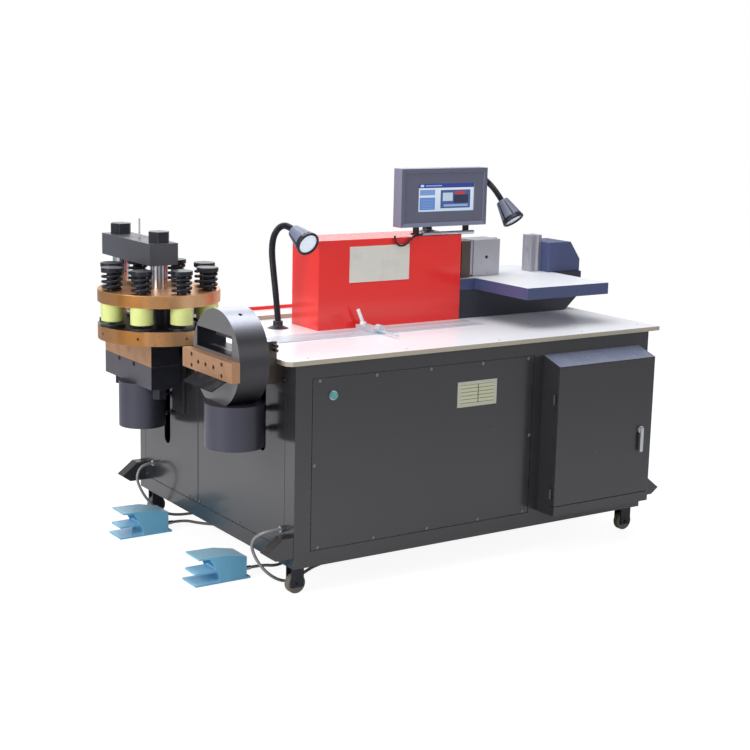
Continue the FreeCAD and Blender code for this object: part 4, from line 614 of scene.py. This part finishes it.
def mesh_of(shape, name, *materials):
    """Turns a built shape into a mesh with its materials."""
    mesh = bpy.data.meshes.new(name)
    shape.to_mesh(mesh)
    shape.free()
    for material in materials:
        mesh.materials.append(material)
    return mesh


def shaded(name, mesh, sharp=SHARP):
    """A piece of that mesh, smooth but for its sharp edges."""
    mesh.polygons.foreach_set("use_smooth", [True] * len(mesh.polygons))
    mesh.set_sharp_from_angle(angle=sharp)
    return placed(name, mesh)


def welded(node):
    """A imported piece's shape, with the corners that its triangles share joined."""
    shape = bmesh.new()
    shape.from_mesh(frame["nodes"][node].data)
    bmesh.ops.remove_doubles(shape, verts=shape.verts, dist=WELD)
    return shape


def whole(shape, volume):
    """Whether a shape keeps its volume and its faces split into triangles that fill them."""
    if abs(abs(shape.calc_volume()) - volume) > volume * VOLUME_SLACK:
        return False
    split = shape.copy()
    bmesh.ops.triangulate(split, faces=split.faces)
    area = sum(face.calc_area() for face in shape.faces)
    filled = sum(face.calc_area() for face in split.faces)
    split.free()
    return abs(filled - area) < area * AREA_SLACK


def rounded(shape, edge):
    """A copy with its sharp edges rounded and marked as rims."""
    made = shape.copy()
    hard = [line for line in made.edges
            if len(line.link_faces) == 2 and line.calc_face_angle(0) > SHARP]
    rims = bmesh.ops.bevel(made, geom=hard, offset=edge, offset_type="OFFSET", segments=2,
                           profile=0.5, affect="EDGES", clamp_overlap=True)["faces"]
    rim = made.faces.layers.float["rim"]
    for face in rims:
        face[rim] = 1.0
    return made


def smoothed(node, edge):
    """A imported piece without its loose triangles, rounded as far as it stays whole."""
    shape = welded(node)
    shape.faces.layers.float.new("rim")
    volume = abs(shape.calc_volume())
    flat = shape.copy()
    bmesh.ops.dissolve_limit(flat, angle_limit=FLAT, verts=flat.verts, edges=flat.edges)
    tries = [(flat, edge), (flat, edge / 2), (shape, edge / 2), (flat, edge / 4)]
    for source, size in tries if edge else ():
        made = rounded(source, size)
        if whole(made, volume):
            return made
        made.free()
    return flat if whole(flat, volume) else shape


def dress(node, material, edge=None, others=()):
    """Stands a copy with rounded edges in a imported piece's place.

    Each of the others is a test on a face's middle and direction, and the finish it gets."""
    shape = smoothed(node, sizes().edge if edge is None else edge)
    for face in shape.faces if others else ():
        middle = face.calc_center_median()
        for place, (test, _) in enumerate(others, start=1):
            if test(middle, face.normal):
                face.material_index = place
    name = node + "_dressed"
    piece = shaded(name, mesh_of(shape, name, material, *(two for _, two in others)))
    weighted = piece.modifiers.new("Face weighted shading", "WEIGHTED_NORMAL")
    weighted.keep_sharp = True
    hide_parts(node)
    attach(piece, BODY_OF[node])
    return piece


def dress_jack(node, radius):
    """Dresses an upright cylinder, with what stands out sideways from it as bright fittings."""
    low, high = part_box(node)
    x, y = low.x + radius, (low.y + high.y) / 2
    proud = 0.0008

    def is_outside(middle, way):
        return math.hypot(middle.x - x, middle.y - y) > radius + proud

    dress(node, gloss_paint("jack", "satin"), CAST, [(is_outside, chrome())])


# Repeated parts, laid out with geometry nodes
def group_inputs(name, **sockets):
    """A new recipe, and its inputs by their labels."""
    tree = bpy.data.node_groups.new(name, "GeometryNodeTree")
    tree.interface.new_socket(name="Geometry", in_out="OUTPUT", socket_type="NodeSocketGeometry")
    for label, kind in sockets.items():
        tree.interface.new_socket(name=label, in_out="INPUT", socket_type="NodeSocket" + kind)
    work = Tree(tree)
    source = tree.nodes.new("NodeGroupInput")
    return work, {label: Signal(work, source.outputs[label]) for label in sockets}


def end_group(work, points, part, given, **places):
    """Puts the part on the points, paints the copies and ends the recipe."""
    copies = work.node("GeometryNodeInstanceOnPoints", at={
        "Points": points, "Instance": part, **places})
    real = work.node("GeometryNodeRealizeInstances", copies)
    work.end("NodeGroupOutput", work.node("GeometryNodeSetMaterial", real,
                                          at={"Material": given["Finish"]}))
    return work.tree


def scatter_recipe():
    """Copies of one small part on points, each turned to face along its point's direction."""
    work, given = group_inputs("Fasteners on points", Points="Geometry", Part="Object",
                               Radius="Float", Finish="Material")
    part = work.node("GeometryNodeObjectInfo", given["Part"], at={"As Instance": True},
                     out="Geometry", transform_space="ORIGINAL")
    facing = work.node("GeometryNodeInputNamedAttribute", "facing", data_type="FLOAT_VECTOR")
    turn = work.node("FunctionNodeAlignRotationToVector", at={"Vector": facing}, axis="Z")
    size = work.node("CombineXYZ", *[given["Radius"]] * 3)
    return end_group(work, given["Points"], part, given, Rotation=turn, Scale=size)


def rib_recipe():
    """Rings along a path, evenly spaced and square to it."""
    work, given = group_inputs("Ribs along a path", Path="Geometry", Pitch="Float",
                               Ring="Float", Rib="Float", Finish="Material")
    even = work.node("GeometryNodeResampleCurve", given["Path"], at={"Length": given["Pitch"]},
                     mode="LENGTH")
    along = work.node("GeometryNodeInputTangent")
    turn = work.node("FunctionNodeAlignRotationToVector", at={"Vector": along}, axis="Z")
    ring, wire = (work.node("GeometryNodeCurvePrimitiveCircle", mode="RADIUS", at={
        "Resolution": sides, "Radius": given[label]})
        for label, sides in (("Ring", 16), ("Rib", 5)))
    rib = work.node("GeometryNodeCurveToMesh", ring, wire)
    return end_group(work, even, rib, given, Rotation=turn)


def tick_recipe():
    """Marks in a row: a short one at each step and a long one at each fifth."""
    work, given = group_inputs("Scale marks", Start="Vector", Step="Vector", Count="Int",
                               Mark="Vector", Finish="Material")
    line = work.node("GeometryNodeMeshLine", mode="OFFSET", at={
        "Count": given["Count"], "Start Location": given["Start"], "Offset": given["Step"]})
    mark = work.node("GeometryNodeMeshCube", given["Mark"])
    fifth = (work.node("GeometryNodeInputIndex") % 5) < 0.5
    size = work.node("CombineXYZ", 1.0, fifth * 0.8 + 1.0, 1.0)
    return end_group(work, line, mark, given, Scale=size)


def bake(name, data, recipe, slot, **values):
    """Runs a recipe on some data and keeps the result as a plain mesh on the cabinet."""
    host = placed(name + "_host", data)
    modifier = host.modifiers.new("Recipe", "NODES")
    modifier.node_group = recipe
    for item in recipe.interface.items_tree:
        if item.in_out == "INPUT" and item.name in values:
            modifier[item.identifier] = values[item.name]
    graph = bpy.context.evaluated_depsgraph_get()
    mesh = bpy.data.meshes.new_from_object(host.evaluated_get(graph))
    bpy.data.objects.remove(host)
    mesh.name = name
    piece = shaded(name, mesh, math.radians(35))
    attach(piece, "cabinet")
    return piece


def head_shape(height, top, recess, socket=0.0):
    """A small part's head of unit radius: wall, chamfer, and a six-sided or round recess."""
    shape = bmesh.new()
    sides = 12
    turn = math.tau / sides

    def ring(radius, z, six=False):
        row = []
        for i in range(sides):
            reach = radius * (math.cos(turn) if six and i % 2 else 1.0)
            row.append(shape.verts.new((reach * math.cos(turn * i), reach * math.sin(turn * i), z)))
        return row

    rows = [ring(1.0, -0.02), ring(1.0, height * 0.82), ring(top, height)]
    if socket:
        rows += [ring(socket, height, True), ring(socket, height - recess, True)]
    else:
        rows += [ring(top * 0.6, height + recess), ring(top * 0.2, height + recess * 1.25)]
    for one, two in zip(rows, rows[1:]):
        for i in range(sides):
            shape.faces.new((one[i], one[(i + 1) % sides], two[(i + 1) % sides], two[i]))
    shape.faces.new(rows[-1])
    shape.faces.new(list(reversed(rows[0])))
    bmesh.ops.recalc_face_normals(shape, faces=shape.faces)
    return placed("head", mesh_of(shape, "head"))


def scatter(name, places, kind, radius, material, slot):
    """Screw heads of one kind on places, each a point with the way that it faces."""
    mesh = bpy.data.meshes.new(name + "_points")
    mesh.from_pydata([tuple(point) for point, _ in places], [], [])
    facing = mesh.attributes.new("facing", "FLOAT_VECTOR", "POINT")
    facing.data.foreach_set("vector", [value for _, way in places for value in way])
    head = head_shape(*kind)
    piece = bake(name, mesh, scatter_recipe(), slot, Part=head, Radius=radius, Finish=material)
    bpy.data.objects.remove(head)
    return piece


def islands(node):
    """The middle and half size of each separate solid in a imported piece."""
    shape = welded(node)
    seen = set()
    found = []
    for first in shape.verts:
        stack, part = [first], []
        while stack:
            vert = stack.pop()
            if vert not in seen:
                seen.add(vert)
                part.append(vert.co.copy())
                stack += [line.other_vert(vert) for line in vert.link_edges]
        if part:
            low = Vector([min(co[i] for co in part) for i in range(3)])
            high = Vector([max(co[i] for co in part) for i in range(3)])
            found.append(((low + high) / 2, (high - low) / 2))
    shape.free()
    return found


def nurbs(name, points, radius=0.0):
    """A smooth curve drawn towards its points."""
    curve = bpy.data.curves.new(name, "CURVE")
    curve.dimensions = "3D"
    curve.bevel_depth = radius
    curve.bevel_resolution = 5
    curve.resolution_u = 10
    spline = curve.splines.new("NURBS")
    spline.points.add(len(points) - 1)
    for place, value in zip(spline.points, points):
        place.co = (*value, 1)
    spline.order_u = 3
    spline.use_endpoint_u = True
    return curve


def lamp_rim(name, glass, way):
    """A rubber hoop round a lamp's glass."""
    radius, thick, forward = 0.0366, 0.0042, 0.0035
    around, across = 48, 12
    shape = bmesh.new()
    turn = way.to_track_quat("Z", "Y")
    rows = []
    for i in range(around):
        angle = math.tau * i / around
        out = Vector((math.cos(angle), math.sin(angle), 0))
        rows.append([shape.verts.new(glass + way * forward + turn @ (
            out * (radius + thick * math.cos(math.tau * j / across)) +
            Vector((0, 0, thick * math.sin(math.tau * j / across))))) for j in range(across)])
    for one, two in zip(rows, rows[1:] + rows[:1]):
        for j in range(across):
            after = (j + 1) % across
            shape.faces.new((one[j], two[j], two[after], one[after]))
    bmesh.ops.recalc_face_normals(shape, faces=shape.faces)
    piece = shaded(name, mesh_of(shape, name, black_steel()), math.radians(60))
    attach(piece, "cabinet")


class Builder:
    """What the operators share: they undo as one step."""

    bl_options = {"REGISTER", "UNDO"}


class MACHINE_OT_stage(Builder, bpy.types.Operator):
    """Sets the pale floor, the studio lights, the backdrop and the camera"""

    bl_idname = "machine.stage"
    bl_label = "Stage"

    def execute(self, context):
        scene = context.scene
        scene.view_settings.view_transform = "Standard"
        world = bpy.data.worlds.new("Studio")
        scene.world = world
        world.use_nodes = True
        world.node_tree.nodes.clear()
        air = Tree(world.node_tree)
        seen, glossy, through = (air.node("LightPath", out=f"Is {kind} Ray")
                                 for kind in ("Camera", "Glossy", "Transmission"))
        plain, bright, white = (air.node("Background", paint, power)
                                for paint, power in (((0.95, 0.96, 1.0), 0.40),
                                                     ((0.95, 0.96, 1.0), 0.42), ((1, 1, 1), 1.0)))
        lit = air.node("MixShader", glossy, plain, bright)
        shown = air.node("Math", seen, through, operation="MAXIMUM")
        air.end("ShaderNodeOutputWorld", air.node("MixShader", shown, lit, white))

        shape = bmesh.new()
        bmesh.ops.create_grid(shape, x_segments=1, y_segments=1, size=14)
        look = Finish("floor_paper")
        look.set(base=(0.86, 0.86, 0.87), rough=0.28, gloss=0.35)
        seen = look.node("LightPath", out="Is Camera Ray")
        glow = look.node("Emission", (1, 1, 1), 1.24)
        both = look.node("MixShader", seen * 0.74,
                         Signal(look, look.shader.outputs[0]), glow)
        look.feed(look.output.inputs[0], both)
        placed("floor", mesh_of(shape, "floor", look.material))

        for name, place, target, wide, power in (
                ("overhead", (-0.3, 0.3, 3.6), (0, 0, 0.6), 3.0, 96),
                ("key", (-4.2, -0.9, 2.0), (-0.3, 0, 0.6), 2.0, 92),
                ("fill", (1.4, -4.6, 2.2), (0.2, 0, 0.5), 2.2, 20),
                ("back", (1.6, 3.6, 2.8), (0, 0, 0.8), 2.4, 36)):
            light = bpy.data.lights.new(name, "AREA")
            light.shape = "SQUARE"
            light.size = wide
            light.energy = power
            lamp = placed(name, light)
            lamp.location = place
            aim = Vector(target) - Vector(place)
            lamp.rotation_euler = aim.to_track_quat("-Z", "Y").to_euler()

        # The camera stands and looks as the photo's did, fitted to the cabinet's edges
        view = bpy.data.cameras.new("photo")
        view.lens = 71.95
        view.sensor_width = 36
        camera = placed("photo", view)
        right = Vector((0.8333, -0.5524, 0.0228))
        up = Vector((0.0896, 0.1756, 0.9804))
        back = right.cross(up).normalized()
        right = up.cross(back).normalized()
        turn = Matrix((right, up.normalized(), back)).transposed().to_4x4()
        camera.matrix_world = Matrix.Translation(spot(-2254.0, -3793.1, 1590.2)) @ turn
        scene.camera = camera
        return {"FINISHED"}


class MACHINE_OT_cables(Builder, bpy.types.Operator):
    """Lays the two pedal cables"""

    bl_idname = "machine.cables"
    bl_label = "Cables"

    def execute(self, context):
        for node, (long, route) in CABLES.items():
            points = [spot(*place) for place in route]
            curve = nurbs(node + "_sheath", points, sizes().cord / 2)
            curve.use_fill_caps = True
            curve.materials.append(cable_sheath())
            piece = placed(node + "_sheath", curve)
            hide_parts(node)
            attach(piece, "cabinet")
        return {"FINISHED"}


class MACHINE_OT_cabinet(Builder, bpy.types.Operator):
    """Paints the cabinet, its panels, the electrical box, screws, button and plates"""

    bl_idname = "machine.cabinet"
    bl_label = "Cabinet"

    def execute(self, context):
        paint = gloss_paint("cabinet")
        dress("cabinet_frame", paint)
        for node in ("front_panel", "side_panels", "electrical_door"):
            dress(node, paint, SHEET)
        box_middle = 0.6
        # The roof's upward faces get the roof colour, a painted highlight on the cabinet paint.
        dress("electrical_box", paint, SHEET, [
            (lambda middle, way: 0.5 < way.z < 0.999 and middle.z > box_middle,
             gloss_paint("roof"))])
        dress("door_latch", chrome())
        dress("control_gear", plastic("beam"), SHEET)
        dress("power_pack", gloss_paint("jack", "satin"), edge=0.002)
        dress("button_bezel", chrome(), edge=0.0007)
        dress("start_button", lit_plastic("button"))

        places = []
        for middle, half in islands("panel_screws"):
            way = (0, -1, 0) if half.y < half.x else (-1, 0, 0)
            places.append((middle - Vector(way) * min(half.x, half.y), way))
        radius = 0.0058
        heads = scatter("panel_screw_heads", places, DOMED, radius, ground_steel("drum", "x"),
                        SLOT_OF["panel_screws"])
        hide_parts("panel_screws")

        def plate(name, *corners):
            low, high = (spot(x, 0, z) for x, z in corners)
            return plate_metal((low.x, low.z), (high.x, high.z), name)

        between = -0.3  # the plate lies in front of this, and the housing's label behind it
        dress("name_plates", plate("plate", (608, 540), (768, 624)), PRINTED, [
            (lambda middle, way: middle.y > between, plate("label", (462, 902), (706, 1024)))])
        return {"FINISHED"}


class MACHINE_OT_table(Builder, bpy.types.Operator):
    """Finishes the work table, the length scale and its stop"""

    bl_idname = "machine.table"
    bl_label = "Table and stop"

    def execute(self, context):
        board = 0.0152
        dress("table_top", laminate(), MILLED)
        dress("rear_deck", deck_paint(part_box("rear_deck")[0].z + board), MILLED)
        dress("scale_strip", ground_steel("strip", "x", 0.2), edge=0.0005)
        dress("stop_slide", ground_steel("strip", "y", 0.2), MILLED)
        dress("stop_lever", plastic("laminate"), MILLED)

        low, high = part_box("scale_strip")
        step = sizes().tick_pitch
        margin, inset, sunk = 0.02, 0.012, 0.0001
        bake("scale_marks", bpy.data.meshes.new("scale_host"), tick_recipe(), "scale_steel",
             Start=(low.x + margin, low.y + inset, high.z - sunk), Step=(step, 0, 0),
             Count=int((high.x - low.x - 2 * margin) / step), Mark=(0.0010, 0.010, 0.0004),
             Finish=black_steel())
        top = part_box("table_top")[1].z
        places = [(spot(x, y, 0) + Vector((0, 0, top)), (0, 0, 1))
                  for x, y in ((60, 30), (420, 24), (790, 24), (1150, 24), (1440, 60),
                               (1450, 420), (1450, 760), (1448, 1060), (1080, 230))]
        scatter("table_screws", places, COUNTERSUNK, sizes().pin, chrome(), "chrome_steel")
        return {"FINISHED"}


class MACHINE_OT_press(Builder, bpy.types.Operator):
    """Finishes the red housing, the ram, the punch, the die and the bending table"""

    bl_idname = "machine.press"
    bl_label = "Bending press"

    def execute(self, context):
        dress("ram_housing", gloss_paint("red"), MOULDED)
        dress("bending_cylinder", gloss_paint("jack", "satin"), edge=0.0015)
        dress("bending_ram", ground_steel("ram", "z"), MILLED)
        dress("bending_punch", ground_steel("steel", "z"), SHEET)
        dress("bending_die", ground_steel("steel", "z"), SHEET)
        dress("bending_frame", gloss_paint("frame", "satin"))
        dress("bending_table", laminate("blue"), MOULDED)
        dress("die_backstop", gloss_paint("blue", "satin"), MOULDED)
        return {"FINISHED"}


class MACHINE_OT_screen(Builder, bpy.types.Operator):
    """Finishes the operator's screen and its bracket"""

    bl_idname = "machine.screen"
    bl_label = "Screen"

    def execute(self, context):
        low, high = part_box("screen_glass")
        dress("screen_glass", screen_picture((low.x, low.z), (high.x, high.z)), PRINTED)
        low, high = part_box("screen_case")
        side, end = 0.022, 0.016

        def is_bezel(middle, way):
            inside = low.x + side < middle.x < high.x - side
            return way.y < -0.5 and inside and low.z + end < middle.z < high.z - end

        dress("screen_case", plastic("case"), MOULDED, [(is_bezel, plastic("bezel"))])
        left_back = spot(755, 448, 0)
        rod_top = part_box("ram_housing")[1].z + 0.0145

        def is_rod(middle, way):
            return middle.z < rod_top and middle.y < left_back.y and middle.x > left_back.x

        dress("screen_bracket", black_steel(), SHEET, [(is_rod, chrome())])
        return {"FINISHED"}


class MACHINE_OT_lamps(Builder, bpy.types.Operator):
    """Finishes the two lamps and puts the ribs on their necks"""

    bl_idname = "machine.lamps"
    bl_label = "Lamps"

    def execute(self, context):
        dress("lamp_stands", black_steel())
        parts = islands("lamp_heads")
        biggest = max(half.length for _, half in parts)
        glasses = sorted((middle for middle, half in parts if half.length < biggest * 0.8),
                         key=lambda middle: middle.x)
        glass_reach, rim_reach = 0.0375, 0.047

        def nearest(middle):
            return min((middle - glass).length for glass in glasses)

        dress("lamp_heads", gloss_paint("lamp", "satin"), edge=0.0009, others=[
            (lambda middle, way: glass_reach <= nearest(middle) < rim_reach, black_steel()),
            (lambda middle, way: nearest(middle) < glass_reach, lens())])
        for side, glass, aim in zip(NECK_ROUTES, glasses, ((3, -33, -15), (6, -16, -22))):
            lamp_rim(side + "_lamp_rim", glass, Vector(aim).normalized())
        for side, route in NECK_ROUTES.items():
            name = side + "_neck_ribs"
            path = nurbs(name, [spot(*place) for place in route])
            bake(name, path, rib_recipe(), "neck_paint", Pitch=sizes().rib_pitch, Ring=0.0095,
                 Rib=sizes().rib, Finish=black_steel())
        return {"FINISHED"}


class MACHINE_OT_turret(Builder, bpy.types.Operator):
    """Finishes the punch turret, its springs and its press"""

    bl_idname = "machine.turret"
    bl_label = "Punch turret"

    def execute(self, context):
        low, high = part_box("upper_turret")
        centre = (low + high) / 2
        turned = bronze(round(centre.x, 4), round(centre.y, 4))
        dark = black_steel()
        hub, disc = 0.046, 0.042

        def is_hub(middle, way):
            inside = math.hypot(middle.x - centre.x, middle.y - centre.y) < hub
            return inside and abs(way.z) < 0.5 and middle.z < high.z - disc

        # The lower disc's upward faces are drawn in blackened steel: partly a dark steel plate, and
        # partly painted shade under the upper disc.
        dress("lower_turret", turned, MOULDED, [(lambda middle, way: way.z > 0.9, dark)])
        dress("upper_turret", turned, MOULDED, [(is_hub, dark)])
        for node, edge in (("struck_punch", None), ("turret_punches", None),
                           ("punch_springs", 0), ("die_inserts", SHEET)):
            dress(node, dark, edge)
        spring = dress("struck_spring", dark, edge=0)
        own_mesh(spring)
        dress("stripper_rings", urethane(), CAST)

        # The front end faces of the anvil and the bolster are drawn in blackened steel: partly a
        # black end plate, and partly painted shade below the disc.
        def is_end(middle, way):
            return way.y < -0.5

        dress("punch_anvil", block_bronze(), MILLED, [(is_end, dark)])
        dress("punch_bolster", ground_steel("bolster", "y"), others=[(is_end, dark)])
        base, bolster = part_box("punch_bolster")
        sunk, drop, radius = 0.0008, 0.0095, 0.0085
        places = [(Vector((base.x + sunk, spot(0, y, 0).y, bolster.z - drop)), (-1, 0, 0))
                  for y in (814, 932)]
        scatter("bolster_screws", places, SHALLOW_CAP, radius, dark, "black_steel")
        dress_jack("punch_cylinder", radius=0.080)
        dress("punch_bracket", gloss_paint("cabinet", "satin"))
        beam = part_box("press_beam")[0].z
        pin_foot, nut_foot = beam + 0.0745, beam + 0.01
        dress("press_beam", gloss_paint("beam", "satin"), HEAVY,
              [(lambda middle, way: middle.z > pin_foot, plastic("pin"))])

        def is_nut(middle, way):
            return middle.z > nut_foot or middle.z < bolster.z

        dress("tie_columns", chrome(), others=[(is_nut, dark)])
        return {"FINISHED"}


class MACHINE_OT_shear(Builder, bpy.types.Operator):
    """Finishes the shear: drum, tool block, blade, cylinder and tray"""

    bl_idname = "machine.shear"
    bl_label = "Shear"

    def execute(self, context):
        centre = spot(-129.5, 172, 743)
        face, neck = centre.x - 0.0495, centre.x + 0.052
        front_low, rear_high = spot(0, 70, 683), spot(0, 295, 832)
        slack = 0.001

        def is_throat(middle, way):
            level = front_low.z < middle.z < rear_high.z
            across = front_low.y - slack < middle.y < rear_high.y + slack
            return level and across and middle.x > face and abs(way.x) < 0.9

        dress("shear_housing", drum_steel(round(centre.y, 4), round(centre.z, 4)), MOULDED,
              [(is_throat, black_steel()),
               (lambda middle, way: middle.x > neck, ground_steel("ram", "z"))])
        dress("shear_tool_block", block_bronze(), MILLED)
        dress("shear_blade", ground_steel("steel", "y"), PRINTED)
        dress_jack("shear_cylinder", radius=0.092)
        dress("offcut_tray", gloss_paint("tray", "flat"), SHEET)
        low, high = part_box("shear_tool_block")
        sunk, radius = 0.008, 0.0064
        places = [(Vector((low.x + sunk, low.y + (high.y - low.y) * across,
                           low.z + (high.z - low.z) * up)), (-1, 0, 0))
                  for across, up in ((0.81, 0.79), (0.81, 0.21), (0.67, 0.5), (0.52, 0.5),
                                     (0.36, 0.5), (0.2, 0.79), (0.2, 0.21))]
        scatter("tool_screws", places, CAP, radius, black_steel(), "black_steel")
        return {"FINISHED"}


class MACHINE_OT_pedals(Builder, bpy.types.Operator):
    """Finishes the pedals, their glands and the casters"""

    bl_idname = "machine.pedals"
    bl_label = "Pedals and casters"

    def execute(self, context):
        dress("pedal_guards", enamel("pedal"))
        dress("front_treadle", enamel("pedal"), MILLED)
        dress("rear_treadle", enamel("pedal"), MILLED)
        dress("cable_glands", chrome(), SHEET)
        dress("caster_brackets", black_steel(), SHEET)
        for place in ("front_left", "front_right", "rear_left", "rear_right"):
            dress("wheel_" + place, plastic("tread"), HEAVY)
        return {"FINISHED"}


class MACHINE_PT_parts(bpy.types.Panel):
    """Lists what the machine is made of"""

    bl_label = "Machine"
    bl_idname = "MACHINE_PT_parts"
    bl_space_type = "VIEW_3D"
    bl_region_type = "UI"
    bl_category = "Machine"

    def draw(self, context):
        for operator in OPERATORS:
            self.layout.operator(operator.bl_idname)
        for settings, kind in ((shades(), FinishColours), (sizes(), PartSizes)):
            box = self.layout.box()
            for key in kind.__annotations__:
                box.prop(settings, key)


OPERATORS = (MACHINE_OT_stage, MACHINE_OT_cables, MACHINE_OT_cabinet, MACHINE_OT_table,
             MACHINE_OT_press, MACHINE_OT_screen, MACHINE_OT_lamps, MACHINE_OT_turret,
             MACHINE_OT_shear, MACHINE_OT_pedals)
CLASSES = (FinishColours, PartSizes, *OPERATORS, MACHINE_PT_parts)


def register():
    for kind in CLASSES:
        bpy.utils.register_class(kind)
    bpy.types.Scene.machine_colours = bpy.props.PointerProperty(type=FinishColours)
    bpy.types.Scene.machine_sizes = bpy.props.PointerProperty(type=PartSizes)


def unregister():
    del bpy.types.Scene.machine_sizes
    del bpy.types.Scene.machine_colours
    for kind in reversed(CLASSES):
        bpy.utils.unregister_class(kind)


def main():
    register()
    for operator in OPERATORS:
        group, name = operator.bl_idname.split(".")
        getattr(getattr(bpy.ops, group), name)()


if __name__ == "__main__":
    main()
